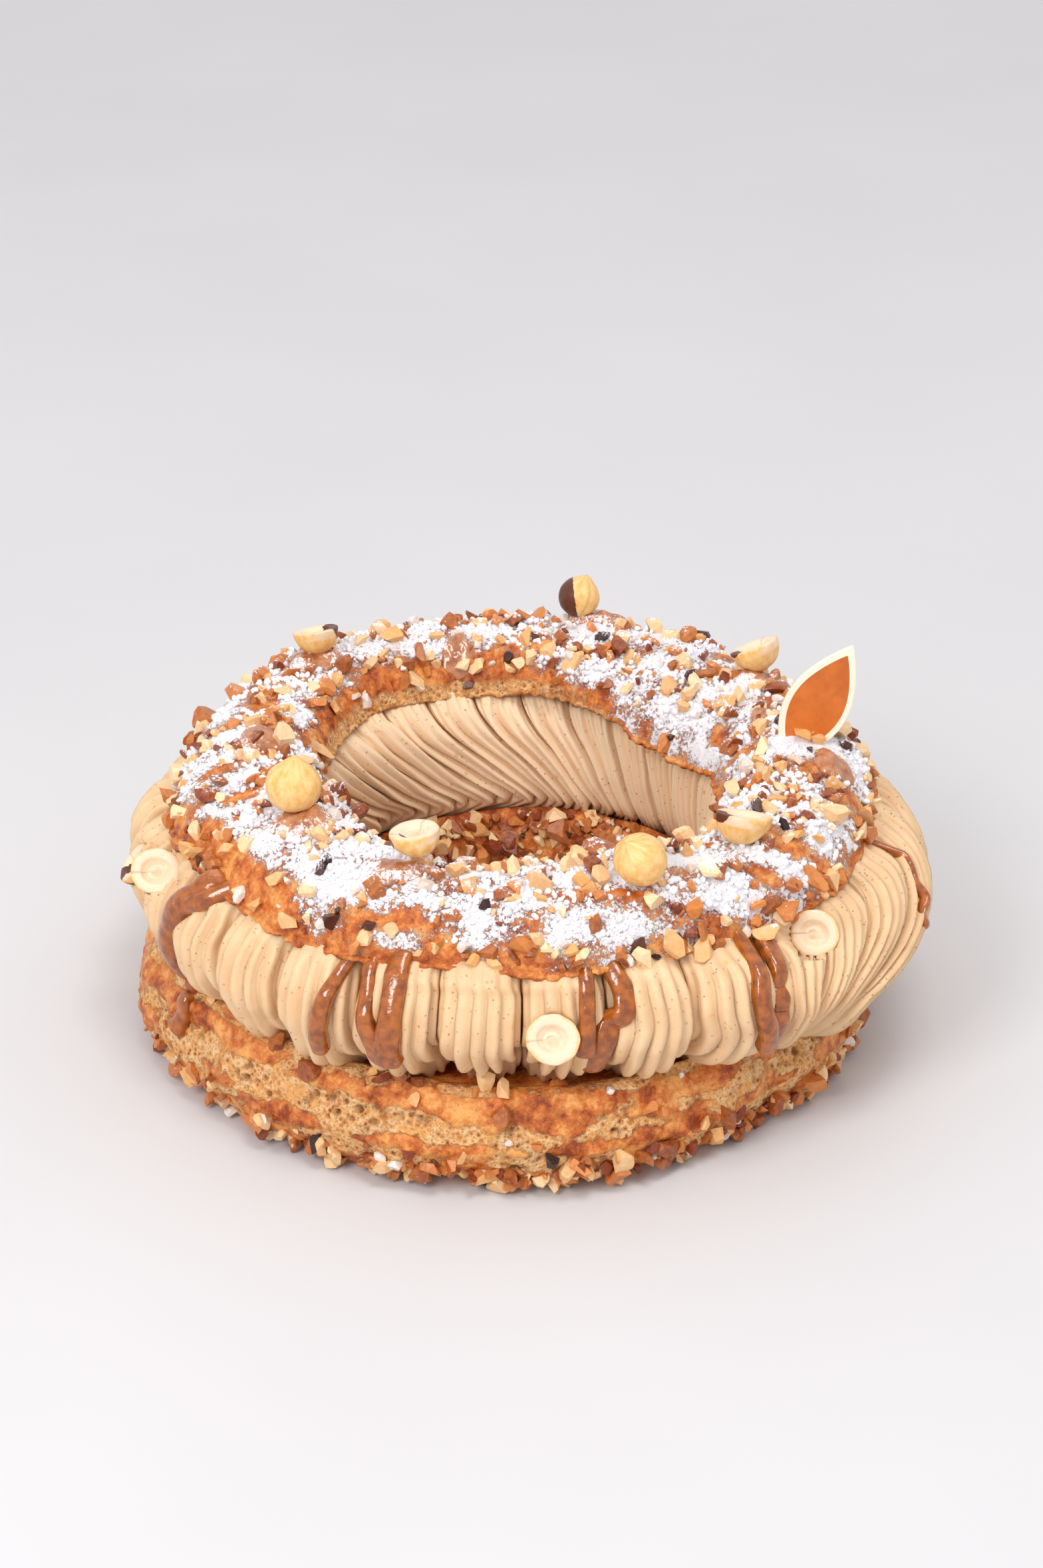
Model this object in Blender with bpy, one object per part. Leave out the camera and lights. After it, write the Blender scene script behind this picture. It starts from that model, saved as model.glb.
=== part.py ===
"""A Paris-Brest for sharing: a ring of choux pastry split in two, filled with a piped ring of praline cream
and topped with hazelnuts, praline dollops and a leaf-shaped chocolate plaque.

Metres, +Z up. The origin is under the middle of the lid, on the surface that the pastry stands on. Angles
are in degrees, anticlockwise from +X, and the front of the pastry faces -Y.
"""

from math import cos, exp, pi, radians, sin, sqrt

import bmesh
import bpy
from mathutils import Matrix, Vector
from mathutils.bvhtree import BVHTree

MM = 0.001

# Driving dimensions, in millimetres.
LID_OUTER = 92.0
LID_HOLE = 52.5
LID_EDGE_Z = 62.0
LID_HOLE_EDGE_Z = 66.0
LID_CROWN = 13.2
LID_EDGE_THICKNESS = 1.7
LID_CROWN_THICKNESS = 5.5

CREAM_OUTER = 101.0
CREAM_INNER = 52.0
ROPES = 28
ROPE_GROOVE = 3.8
# How much of a rope the ropes lean by for each millimetre of height.
ROPE_SLANT = 0.01
# The middle of the cream's section, as radius and height.
CREAM_MIDDLE = (77.0, 46.0)

BASE_OUTER = 96.0
BASE_INNER = 46.0
BASE_RIM_Z = 29.8
TROUGH_FLOOR_Z = 25.5
# The base isn't quite in line with the lid: how far, and towards which angle, its outside is shifted.
BASE_SHIFT = 3.2
BASE_SHIFT_ANGLE = 198

CLEARANCE = 0.6

NUT_RADIUS = 7.0
NUT_WIDTH = 0.95
NUT_STEPS = 9
# A nut on the lid rides on its dollop, clear of the crust by NUT_GAP.
NUT_GAP = 2.0
# A nut's pocket in the cream or in a dollop is this much larger than the nut.
POCKET_GROWTH = 1.08

# A dollop keeps this far clear of the crust under it.
DOLLOP_GAP = 0.75
DOLLOP_EDGE = 0.7
DOLLOP_SPOKES = 9
DOLLOP_RINGS = 2

LEAF_LENGTH = 36.5
LEAF_WIDTH = 17.0
LEAF_THICKNESS = 1.5
LEAF_STEPS = 8
LEAF_FOOT = (68.8, 0.9, 72.0)
LEAF_TIP = (85.8, 4.3, 103.5)
LEAF_FACING = (0.0, -1.0, 0.15)
SLOT_GAP = 0.4

# Higher than every piece: where a ray that looks for the lid starts.
ABOVE_ALL = 130.0

# How finely each ring is divided, round the ring.
LID_STEPS = 56
CREAM_STEPS = 6 * ROPES
BASE_STEPS = 48

# Where the lid's torn hole is wider or narrower than LID_HOLE: angle, extra radius, width in degrees.
HOLE_DENTS = [
    (45, -8.5, 25),
    (105, 2.0, 22),
    (130, 5.5, 26),
    (-35, 5.0, 14),
    (-115, 3.5, 14),
    (-158, -3.5, 16),
    (-95, -2.0, 18),
    (-72, -2.5, 14),
]
# The torn flap at the right of the hole hangs down over the cream: angle, drop, width in degrees.
FLAP = (24, 4.6, 22)
# How far the cream stands out past CREAM_OUTER: angle, extra radius, width in degrees.
CREAM_BULGES = [(-33, 8.0, 26), (5, 2.5, 20), (92, 2.4, 34), (175, 3.0, 26), (-88, -2.0, 30)]
# How far the bottom crust stands out past BASE_OUTER.
BASE_BULGES = [(-170, 3.5, 30), (-78, 1.5, 25), (-45, -2.0, 18)]
# Slow waves that keep the crusts uneven: waves round the ring, height, phase in degrees.
LID_WAVES = [(2, 0.5, 40), (5, 0.5, 10), (9, 0.35, 70)]
RADIUS_WAVES = [(3, 0.7, 20), (8, 0.6, 95), (13, 0.4, 5)]


def bump(angle, features):
    """The sum of smooth bumps round the ring, each (centre, height, width in degrees)."""
    total = 0.0
    for centre, height, width in features:
        apart = (angle - centre + 180) % 360 - 180
        total += height * exp(-((apart / width) ** 2))
    return total


def waves(angle, terms):
    """The sum of cosines round the ring, each (count, height, phase in degrees)."""
    return sum(height * cos(radians(count * angle - phase)) for count, height, phase in terms)


def mix(a, b, share):
    """The value a share of the way from a to b."""
    return a + (b - a) * share


# Nuts on the lid: name, half or whole, place in plan, lift above NUT_GAP, facing, size, and the dollop it
# sits in, as its middle, half-widths and height.
LID_NUTS = [
    ("hazelnut_back", False, (16.0, 76.5), -0.2, (0.35, 0.1, 0.93), 0.88, ((21.0, 76.5), (10.0, 6.0), 3.6)),
    ("hazelnut_back_left", True, (-56.0, 52.0), 0.0, (-0.15, 0.25, 0.95), 0.94, ((-57.0, 49.5), (7.5, 6.0), 2.6)),
    ("hazelnut_back_right", True, (62.7, 43.5), 0.3, (-0.35, 0.25, 0.90), 1.02, ((65.5, 39.5), (7.5, 6.0), 2.6)),
    ("hazelnut_left", False, (-57.5, -41.0), 0.0, (0.05, 0.25, 0.97), 1.05, ((-54.5, -44.0), (8.5, 7.0), 3.4)),
    ("hazelnut_front_left", True, (-26.5, -67.0), 0.3, (-0.35, -0.15, 0.92), 0.97, ((-31.0, -68.0), (7.5, 5.5), 2.4)),
    ("hazelnut_front", False, (29.2, -72.5), -1.6, (-0.50, -0.30, 0.81), 1.03, None),
    ("hazelnut_right", True, (55.6, -51.0), -1.6, (0.12, 0.30, 0.94), 1.07, None),
]
# Dollops by themselves: name, place in plan, half-widths, height.
DOLLOPS = [
    ("praline_left", (-68.6, 0.7), (6.6, 5.6), 3.0),
    ("praline_right", (81.0, -9.5), (5.5, 5.5), 3.0),
    ("praline_back", (-17.4, 61.0), (4.5, 5.0), 2.2),
    ("praline_by_leaf", (63.5, 16.6), (3.2, 4.2), 1.6),
]
# Half nuts pressed into the cream: name, place, the way the cut face looks, size.
CREAM_NUTS = [
    ("hazelnut_cream_right", (73.2, -63.4, 57.0), (-0.10, -0.88, 0.46), 0.90),
    ("hazelnut_cream_front", (7.5, -100.6, 48.7), (0.05, -0.85, 0.52), 0.98),
    ("hazelnut_cream_left", (-94.5, -26.0, 54.0), (0.05, -0.72, 0.69), 0.93),
    ("hazelnut_cream_far_left", (-101.5, -13.5, 49.5), (-0.75, -0.10, 0.65), 0.85),
]


# ---- the lid's two surfaces, which the cream, dollops and nuts are fitted to ----


def lid_radii(angle):
    """The hole's radius and the outer radius of the lid at this angle."""
    inner = LID_HOLE + bump(angle, HOLE_DENTS)
    outer = LID_OUTER + waves(angle, RADIUS_WAVES)
    return inner, outer


def lid_height(share, angle, under=False):
    """The height of the lid's top, or of its underside, at a share of the way from the hole to the outer edge."""
    crown = max(0.0, 1 - abs(2 * share - 1) ** 2.6) ** 0.7
    height = mix(LID_HOLE_EDGE_Z, LID_EDGE_Z, share) + LID_CROWN * crown + waves(angle, LID_WAVES)
    height -= bump(angle, [FLAP]) * (1 - share) ** 3
    if under:
        height -= mix(LID_EDGE_THICKNESS, LID_CROWN_THICKNESS, crown)
    return height


def lid_underside_at(radius, angle):
    """The underside's height at a radius, level past the lid's edges."""
    inner, outer = lid_radii(angle)
    share = min(1.0, max(0.0, (radius - inner) / (outer - inner)))
    return lid_height(share, angle, under=True)


# ---- sections of the three rings, each a closed list of (radius, height) seen with the ring's axis on the left ----


def lid_section(angle):
    inner, outer = lid_radii(angle)
    top = [0.0, 0.08, 0.24, 0.42, 0.6, 0.78, 0.92, 1.0]
    under = [0.93, 0.6, 0.3, 0.06]
    points = [(mix(inner, outer, share), lid_height(share, angle)) for share in top]
    points += [(mix(inner, outer, share), lid_height(share, angle, under=True)) for share in under]
    return points


def cream_envelope(angle):
    """The section that the crests of the ropes reach, and how strongly the ropes show at each point."""
    out = bump(angle, CREAM_BULGES)
    top = []
    for radius, height, depth in [(56.0, 62.5, 0.8), (63.0, 66.5, 0.2), (80.0, 67.0, 0.1)]:
        roof = lid_underside_at(radius, angle) - CLEARANCE
        top.append((radius, min(height, roof), depth))
    top.append((LID_OUTER + 0.8, lid_height(1.0, angle) - 1.5 * CLEARANCE, 0.5))
    outside = [
        (96.5 + 0.65 * out, 57.0, 0.9),
        (CREAM_OUTER - 1.0 + 0.95 * out, 50.5, 1.0),
        (CREAM_OUTER - 0.5 + out, 42.5, 1.0),
        (96.5 + 0.75 * out, 35.5, 1.0),
        (88.5 + 0.4 * out, BASE_RIM_Z + 2.2, 0.5),
    ]
    seat = [(80.0, TROUGH_FLOOR_Z + CLEARANCE, 0.0), (62.0, TROUGH_FLOOR_Z + CLEARANCE, 0.0)]
    inside = [(54.5, BASE_RIM_Z + 2.4, 0.5), (CREAM_INNER, 42.0, 1.0), (CREAM_INNER + 0.8, 54.0, 1.0)]
    return top + outside + seat + inside


def rope_relief(angle, height):
    """How far the surface lies below the crests: a rounded rope between two sharp grooves."""
    phase = angle * ROPES / 360 + ROPE_SLANT * (height - CREAM_MIDDLE[1])
    across = 2 * (phase % 1.0) - 1
    return ROPE_GROOVE * (1 - sqrt(1 - 0.98 * across * across))


def cream_section(angle):
    """The envelope pressed in towards the middle of the section by the ropes' grooves."""
    points = []
    for radius, height, depth in cream_envelope(angle):
        inward = (Vector(CREAM_MIDDLE) - Vector((radius, height))).normalized()
        inward *= rope_relief(angle, height) * depth
        points.append((radius + inward.x, height + inward.y))
    return points


def base_section(angle):
    out = bump(angle, BASE_BULGES) + waves(angle, RADIUS_WAVES + [(1, BASE_SHIFT, BASE_SHIFT_ANGLE)])
    rim = BASE_RIM_Z - 0.5 + waves(angle, LID_WAVES) * 0.35
    outside = [
        (BASE_OUTER - 7.5, 0.0),
        (BASE_OUTER - 2.0, 3.5),
        (BASE_OUTER, 10.0),
        (BASE_OUTER - 0.5, 18.0),
        (BASE_OUTER - 3.5, 25.0),
        (BASE_OUTER - 6.0, rim),
    ]
    trough = [(88.0, rim - 0.8), (84.5, TROUGH_FLOOR_Z), (58.0, TROUGH_FLOOR_Z), (55.5, rim - 0.6)]
    inside = [
        (52.5, rim),
        (BASE_INNER + 1.5, 23.0),
        (BASE_INNER, 12.0),
        (BASE_INNER + 1.5, 3.5),
        (BASE_INNER + 5.0, 0.0),
    ]
    shaped = [(radius + out, height) for radius, height in outside]
    shaped += trough
    shaped += [(radius - 0.2 * out, height) for radius, height in inside]
    return shaped


# ---- building ----


def clear_scene():
    for thing in list(bpy.data.objects):
        bpy.data.objects.remove(thing)


def finish(name, colour, roughness):
    """A plain Principled material."""
    made = bpy.data.materials.new(name)
    made.use_nodes = True
    shader = made.node_tree.nodes["Principled BSDF"]
    shader.inputs["Base Color"].default_value = (*colour, 1.0)
    shader.inputs["Roughness"].default_value = roughness
    shader.inputs["Metallic"].default_value = 0.0
    return made


def add_object(name, mesh_source, material, smooth_angle=40):
    """Turns a bmesh into a named object with outward faces."""
    bmesh.ops.recalc_face_normals(mesh_source, faces=mesh_source.faces)
    mesh = bpy.data.meshes.new(name)
    mesh_source.to_mesh(mesh)
    mesh_source.free()
    mesh.shade_smooth()
    mesh.set_sharp_from_angle(angle=radians(smooth_angle))
    mesh.materials.append(material)
    made = bpy.data.objects.new(name, mesh)
    bpy.context.scene.collection.objects.link(made)
    return made


def add_ring(name, section, steps, material):
    """Sweeps a section, which changes with the angle, once round the ring."""
    shape = bmesh.new()
    loops = []
    for step in range(steps):
        angle = 360.0 * step / steps
        direction = Vector((cos(radians(angle)), sin(radians(angle)), 0.0))
        loop = []
        for radius, height in section(angle):
            loop.append(shape.verts.new((direction * radius + Vector((0, 0, height))) * MM))
        loops.append(loop)
    for step, loop in enumerate(loops):
        following = loops[(step + 1) % steps]
        for i in range(len(loop)):
            j = (i + 1) % len(loop)
            shape.faces.new((loop[i], loop[j], following[j], following[i]))
    return add_object(name, shape, material)


def spun(profile, steps):
    """A bmesh turned about Z from a profile of (radius, height) that starts and ends on the axis."""
    shape = bmesh.new()
    points = [shape.verts.new((radius * MM, 0, height * MM)) for radius, height in profile]
    edges = [shape.edges.new(pair) for pair in zip(points, points[1:])]
    bmesh.ops.spin(
        shape, geom=points + edges, axis=(0, 0, 1), cent=(0, 0, 0), angle=2 * pi, steps=steps, use_merge=True
    )
    bmesh.ops.remove_doubles(shape, verts=shape.verts, dist=1e-6)
    return shape


def nut_profile(half):
    """A blanched hazelnut, round with a blunt point on top, or half of one, with a hollow in its cut face."""
    profile = [(0.0, -0.90)]
    for degree in (-62, -34, -6):
        profile.append((cos(radians(degree)), sin(radians(degree)) * 0.94))
    if half:
        profile += [(0.97, 0.06), (0.58, 0.04), (0.36, -0.12), (0.0, -0.16)]
    else:
        profile += [(0.92, 0.38), (0.62, 0.76), (0.0, 1.05)]
    return [(radius * NUT_RADIUS, height * NUT_RADIUS) for radius, height in profile]


def add_nut(name, half, place, facing, size, material):
    """A nut with its middle at place, in millimetres, and its point or its cut face turned to facing."""
    shape = spun(nut_profile(half), NUT_STEPS)
    turn = Vector(facing).to_track_quat("Z", "Y").to_matrix().to_4x4()
    stretch = Matrix.Diagonal((size, size * NUT_WIDTH, size, 1.0))
    bmesh.ops.transform(shape, matrix=turn @ stretch, verts=shape.verts)
    made = add_object(name, shape, material)
    made.location = Vector(place) * MM
    return made


def add_pocket(name, place, facing, size, material):
    """The cutter for a nut's pocket: a whole nut, larger all round, so that nothing lies over a cut face."""
    return add_nut(name + "_pocket", False, place, facing, size * POCKET_GROWTH, material)


def tree_of(thing):
    """A search tree of an object's faces, in world space."""
    shape = bmesh.new()
    shape.from_mesh(thing.data)
    shape.transform(Matrix.Translation(thing.location))
    tree = BVHTree.FromBMesh(shape)
    shape.free()
    return tree


def height_below(tree, x, y):
    """The height, in metres, of the highest face under a point, or None."""
    hit = tree.ray_cast(Vector((x, y, ABOVE_ALL * MM)), Vector((0, 0, -1)))[0]
    return hit.z if hit else None


def lower_onto(thing, tree, gap):
    """Lowers an object straight down until it is gap, in metres, above the faces below it."""
    spaces = []
    for vertex in thing.data.vertices:
        point = thing.location + vertex.co
        ground = height_below(tree, point.x, point.y)
        if ground is not None:
            spaces.append(point.z - ground)
    thing.location.z += gap - min(spaces)


def add_dollop(name, place, spread, height, lid_tree, material):
    """A dollop of praline lying on the lid, as a domed disc with a thin edge.

    place and spread are the middle and the half-widths along X and Y, in millimetres. A spoke that
    would reach past the lid is shortened.
    """
    shape = bmesh.new()

    def point(x, y, rise):
        ground = height_below(lid_tree, x * MM, y * MM)
        if ground is None:
            return None
        return x * MM, y * MM, ground + (DOLLOP_GAP + rise) * MM

    low = [[shape.verts.new(point(*place, 0.0))]]
    high = [[shape.verts.new(point(*place, height))]]
    for ring in range(1, DOLLOP_RINGS + 1):
        share = ring / DOLLOP_RINGS
        rise = DOLLOP_EDGE + (height - DOLLOP_EDGE) * (1 - share**2)
        low.append([])
        high.append([])
        for spoke in range(DOLLOP_SPOKES):
            turn = 2 * pi * spoke / DOLLOP_SPOKES
            reach = share * (1 + 0.12 * cos(3 * turn + place[0]))
            bottom = None
            while bottom is None:
                x = place[0] + spread[0] * reach * cos(turn)
                y = place[1] + spread[1] * reach * sin(turn)
                bottom = point(x, y, 0.0)
                reach *= 0.96
            low[-1].append(shape.verts.new(bottom))
            high[-1].append(shape.verts.new(point(x, y, rise)))
    for rows in (low, high):
        for spoke in range(DOLLOP_SPOKES):
            following = (spoke + 1) % DOLLOP_SPOKES
            shape.faces.new((rows[0][0], rows[1][spoke], rows[1][following]))
            for inner, outer in zip(rows[1:], rows[2:]):
                shape.faces.new((inner[spoke], outer[spoke], outer[following]))
                shape.faces.new((inner[spoke], outer[following], inner[following]))
    for spoke in range(DOLLOP_SPOKES):
        following = (spoke + 1) % DOLLOP_SPOKES
        shape.faces.new((low[-1][spoke], high[-1][spoke], high[-1][following], low[-1][following]))
    return add_object(name, shape, material)


def leaf_outline(grow=0.0):
    """The leaf's outline as (across, along), in millimetres, from the foot round to the foot again."""
    length, width = LEAF_LENGTH + 2 * grow, LEAF_WIDTH + 2 * grow
    side = []
    for step in range(LEAF_STEPS + 1):
        share = step / LEAF_STEPS
        side.append((width / 2 * sin(pi * share**0.92) ** 0.9, length * share - grow))
    return side + [(-across, along) for across, along in reversed(side[1:-1])]


def add_leaf_slab(name, material, grow=0.0):
    """A slab of the leaf's outline, standing on its foot and leaning towards its tip, grown all round."""
    foot, tip = Vector(LEAF_FOOT), Vector(LEAF_TIP)
    along = (tip - foot).normalized()
    outward = (Vector(LEAF_FACING) - along * along.dot(Vector(LEAF_FACING))).normalized()
    across = along.cross(outward)
    thickness = LEAF_THICKNESS + 2 * grow
    shape = bmesh.new()
    rim = [
        shape.verts.new((across * x + along * y + outward * thickness / 2) * MM)
        for x, y in leaf_outline(grow)
    ]
    face = shape.faces.new(rim)
    pushed = bmesh.ops.extrude_face_region(shape, geom=[face])["geom"]
    moved = [thing for thing in pushed if isinstance(thing, bmesh.types.BMVert)]
    bmesh.ops.translate(shape, verts=moved, vec=outward * -thickness * MM)
    made = add_object(name, shape, material, smooth_angle=30)
    made.location = foot * MM
    return made


def cut(thing, cutter):
    """Subtracts a cutter, which is kept as a hidden wire object."""
    cutter.hide_render = True
    cutter.display_type = "WIRE"
    modifier = thing.modifiers.new(cutter.name, "BOOLEAN")
    modifier.object = cutter
    modifier.operation = "DIFFERENCE"
    modifier.solver = "EXACT"


def add_lid_nuts(lid_tree, nut, praline):
    """The nuts on the lid, each lowered onto it, with the dollop that it sits in."""
    for name, half, place, lift, facing, size, dollop in LID_NUTS:
        made = add_nut(name, half, (*place, ABOVE_ALL), facing, size, nut)
        lower_onto(made, lid_tree, (NUT_GAP + lift) * MM)
        if dollop:
            middle, spread, height = dollop
            under = add_dollop(name.replace("hazelnut", "praline_under"), middle, spread, height, lid_tree, praline)
            cut(under, add_pocket(name, made.location / MM, facing, size, nut))


def add_cream_nuts(cream_ring, nut):
    """The half nuts pressed into the cream, each in a pocket."""
    for name, place, facing, size in CREAM_NUTS:
        add_nut(name, True, place, facing, size, nut)
        cut(cream_ring, add_pocket(name, place, facing, size, nut))


def main():
    clear_scene()
    crust = finish("choux_crust", (0.62, 0.27, 0.07), 0.6)
    cream = finish("praline_cream", (0.72, 0.50, 0.28), 0.45)
    nut = finish("hazelnut", (0.86, 0.60, 0.27), 0.45)
    praline = finish("praline_paste", (0.36, 0.15, 0.05), 0.25)
    chocolate = finish("plaque_chocolate", (0.60, 0.24, 0.05), 0.35)

    add_ring("choux_base", base_section, BASE_STEPS, crust)
    cream_ring = add_ring("cream_ring", cream_section, CREAM_STEPS, cream)
    lid = add_ring("choux_lid", lid_section, LID_STEPS, crust)
    lid_tree = tree_of(lid)

    add_lid_nuts(lid_tree, nut, praline)
    for name, place, spread, height in DOLLOPS:
        add_dollop(name, place, spread, height, lid_tree, praline)
    add_cream_nuts(cream_ring, nut)
    add_leaf_slab("leaf_plaque", chocolate)
    cut(lid, add_leaf_slab("leaf_slot", crust, grow=SLOT_GAP))


main()
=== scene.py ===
"""A Paris-Brest for sharing, dressed round its CAD frame.

A choux base, a piped ring of praline cream, a choux lid dusted with icing sugar, hazelnuts, chopped nuts,
praline dollops and drips, and a leaf-shaped plaque. Sizes are in millimetres until a mesh is made. Angles
are in degrees, anticlockwise from +X, and the front faces -Y.
"""

import logging
from collections.abc import Sequence
from dataclasses import dataclass, field
from enum import Enum
from math import pi, radians

import bpy
import numpy as np
from mathutils import Matrix, Quaternion, Vector
from mathutils.bvhtree import BVHTree


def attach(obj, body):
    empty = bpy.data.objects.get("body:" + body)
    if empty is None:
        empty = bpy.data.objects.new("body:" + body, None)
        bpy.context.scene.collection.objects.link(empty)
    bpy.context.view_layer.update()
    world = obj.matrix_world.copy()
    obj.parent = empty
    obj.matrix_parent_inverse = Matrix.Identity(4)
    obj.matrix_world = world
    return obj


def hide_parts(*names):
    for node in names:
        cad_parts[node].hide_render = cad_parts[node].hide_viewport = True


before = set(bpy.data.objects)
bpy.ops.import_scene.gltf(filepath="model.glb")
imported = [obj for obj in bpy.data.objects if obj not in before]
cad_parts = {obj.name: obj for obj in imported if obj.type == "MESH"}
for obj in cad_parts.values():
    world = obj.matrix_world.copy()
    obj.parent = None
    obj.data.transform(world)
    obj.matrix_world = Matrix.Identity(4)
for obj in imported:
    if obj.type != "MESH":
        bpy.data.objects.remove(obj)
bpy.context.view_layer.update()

LOG = logging.getLogger("paris_brest")
MM = 0.001
BODY = "root"
# How far out a ray starts that looks for the outside of a ring, in millimetres.
FAR = 140.0
Array = np.ndarray
Features = Sequence[tuple[float, float, float]]
Hit = tuple[Array, Array] | None
Socket = bpy.types.NodeSocket
Fed = Socket | float | tuple


# ---- numbers: bumps round the ring, and noise that is the same each run ----


def bump(angle: Array, features: Features) -> Array:
    """The sum of smooth bumps round the ring.

    Args:
        angle: Angles in degrees.
        features: Each bump as its centre, height and width in degrees.

    Returns:
        The height at each angle.
    """
    total = np.zeros(np.shape(angle))
    for centre, height, width in features:
        apart = (angle - centre + 180) % 360 - 180
        total = total + height * np.exp(-((apart / width) ** 2))
    return total


def waves(angle: Array, terms: Features) -> Array:
    """The sum of cosines round the ring, each a count, a height and a phase in degrees."""
    return sum(height * np.cos(np.radians(count * angle - phase)) for count, height, phase in terms)


def mix(a: Array, b: Array, share: Array) -> Array:
    """The value a share of the way from a to b."""
    return a + (b - a) * share


def step_up(value: Array, low: float, high: float) -> Array:
    """Rises smoothly from 0 at low to 1 at high."""
    t = np.clip((value - low) / (high - low), 0.0, 1.0)
    return t * t * (3 - 2 * t)


def lottery(cells: Array, seed: int) -> Array:
    """A number from 0 to 1 for each whole-numbered cell, the same each run.

    Args:
        cells: Whole numbers, (..., 3).
        seed: Which series.

    Returns:
        Numbers, (...).
    """
    whole = cells.astype(np.int64)
    mixed = whole[..., 0] * 73856093 ^ whole[..., 1] * 19349663 ^ whole[..., 2] * 83492791 ^ (seed * 40503)
    mixed = (mixed ^ (mixed >> 13)) * 1274126177 & 0xFFFFFFFF
    mixed = (mixed ^ (mixed >> 16)) * 668265263 & 0xFFFFFFFF
    return ((mixed ^ (mixed >> 15)) & 0xFFFFFF) / float(0xFFFFFF)


def noise(points: Array, size: float, seed: int, octaves: int = 1) -> Array:
    """Smooth noise from -1 to 1.

    Args:
        points: Places in millimetres, (..., 3).
        size: How far apart its hills are, in millimetres.
        seed: Which series.
        octaves: How many finer layers are added.

    Returns:
        The noise at each place.
    """
    total = np.zeros(points.shape[:-1])
    strength = 1.0
    for octave in range(octaves):
        spot = points / size * 2**octave + 17.3 * octave
        cell = np.floor(spot)
        inside = spot - cell
        inside = inside * inside * (3 - 2 * inside)
        layer = np.zeros(points.shape[:-1])
        for corner in np.ndindex(2, 2, 2):
            weight = np.ones(points.shape[:-1])
            for axis in range(3):
                weight = weight * (inside[..., axis] if corner[axis] else 1 - inside[..., axis])
            layer = layer + weight * lottery(cell + np.array(corner), seed + octave)
        total = total + strength * (2 * layer - 1)
        strength *= 0.5
    return total


def pores(points: Array, size: float, seed: int) -> Array:
    """How far each place is from the nearest of many scattered points, as a share of their spacing.

    Args:
        points: Places in millimetres, (..., 3).
        size: The spacing, in millimetres.
        seed: Which series.

    Returns:
        About 0 at a point, and up to about 1 between them.
    """
    spot = points / size
    cell = np.floor(spot)
    best = np.full(points.shape[:-1], 9.0)
    for offset in np.ndindex(3, 3, 3):
        near = cell + np.array(offset) - 1
        place = near + np.stack([lottery(near, seed + axis) for axis in range(3)], axis=-1)
        best = np.minimum(best, np.linalg.norm(spot - place, axis=-1))
    return best


def round_ring(radius: Array, angle: Array, height: Array) -> Array:
    """Places, (..., 3), from radius, angle in degrees and height."""
    turn = np.radians(angle)
    return np.stack([radius * np.cos(turn), radius * np.sin(turn), height * np.ones_like(turn)], axis=-1)


def smooth_line(knots: Array, counts: Sequence[int], closed: bool = True) -> Array:
    """A Catmull-Rom line through knots.

    Args:
        knots: Values at the knots, (knots, ...).
        counts: How many rows each stretch between two knots gets.
        closed: Whether the last stretch leads back to the first knot.

    Returns:
        Values along the line, (rows, ...).
    """
    rows = []
    total = len(knots)
    for start, count in enumerate(counts):
        picks = [start - 1, start, start + 1, start + 2]
        picks = [p % total if closed else min(max(p, 0), total - 1) for p in picks]
        a, b, c, d = (knots[p] for p in picks)
        for step in range(count):
            t = step / count
            square = 2 * a - 5 * b + 4 * c - d
            cube = 3 * b - a - 3 * c + d
            rows.append(0.5 * (2 * b + (c - a) * t + square * t**2 + cube * t**3))
    if not closed:
        rows.append(knots[-1])
    return np.array(rows)


# ---- meshes ----


def deselect() -> None:
    """Leaves nothing selected, so that an operator acts only on what is added next."""
    if bpy.context.object and bpy.context.object.mode != "OBJECT":
        bpy.ops.object.mode_set(mode="OBJECT")
    bpy.ops.object.select_all(action="DESELECT")


def edit(piece: bpy.types.Object) -> None:
    """Opens a piece in edit mode with all of it selected.

    Args:
        piece: The piece.
    """
    deselect()
    piece.select_set(True)
    bpy.context.view_layer.objects.active = piece
    bpy.ops.object.mode_set(mode="EDIT")
    bpy.ops.mesh.select_all(action="SELECT")


def close_up(piece: bpy.types.Object, distance: float = 1e-7) -> None:
    """Merges doubles, points the faces outwards and goes back to object mode.

    Args:
        piece: The piece.
        distance: How close two vertices lie that are merged, in metres.
    """
    edit(piece)
    bpy.ops.mesh.remove_doubles(threshold=distance)
    bpy.ops.mesh.normals_make_consistent(inside=False)
    bpy.ops.object.mode_set(mode="OBJECT")


def read_points(piece: bpy.types.Object) -> Array:
    """Reads where a piece's vertices are.

    Args:
        piece: The piece.

    Returns:
        Their places in millimetres, (vertices, 3).
    """
    flat = np.zeros(len(piece.data.vertices) * 3)
    piece.data.vertices.foreach_get("co", flat)
    return flat.reshape(-1, 3) / MM


def write_points(piece: bpy.types.Object, points: Array) -> None:
    """Puts a piece's vertices at places in millimetres."""
    piece.data.vertices.foreach_set("co", (points * MM).ravel())
    piece.data.update()


def write_values(piece: bpy.types.Object, values: dict[str, Array]) -> None:
    """Gives each vertex its numbers, which the finishes read by name.

    Args:
        piece: The piece.
        values: One number for each vertex, under each name.
    """
    for name, numbers in values.items():
        layer = piece.data.attributes.new(name, "FLOAT", "POINT")
        layer.data.foreach_set("value", np.ascontiguousarray(numbers, dtype=np.float32).ravel())


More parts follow.
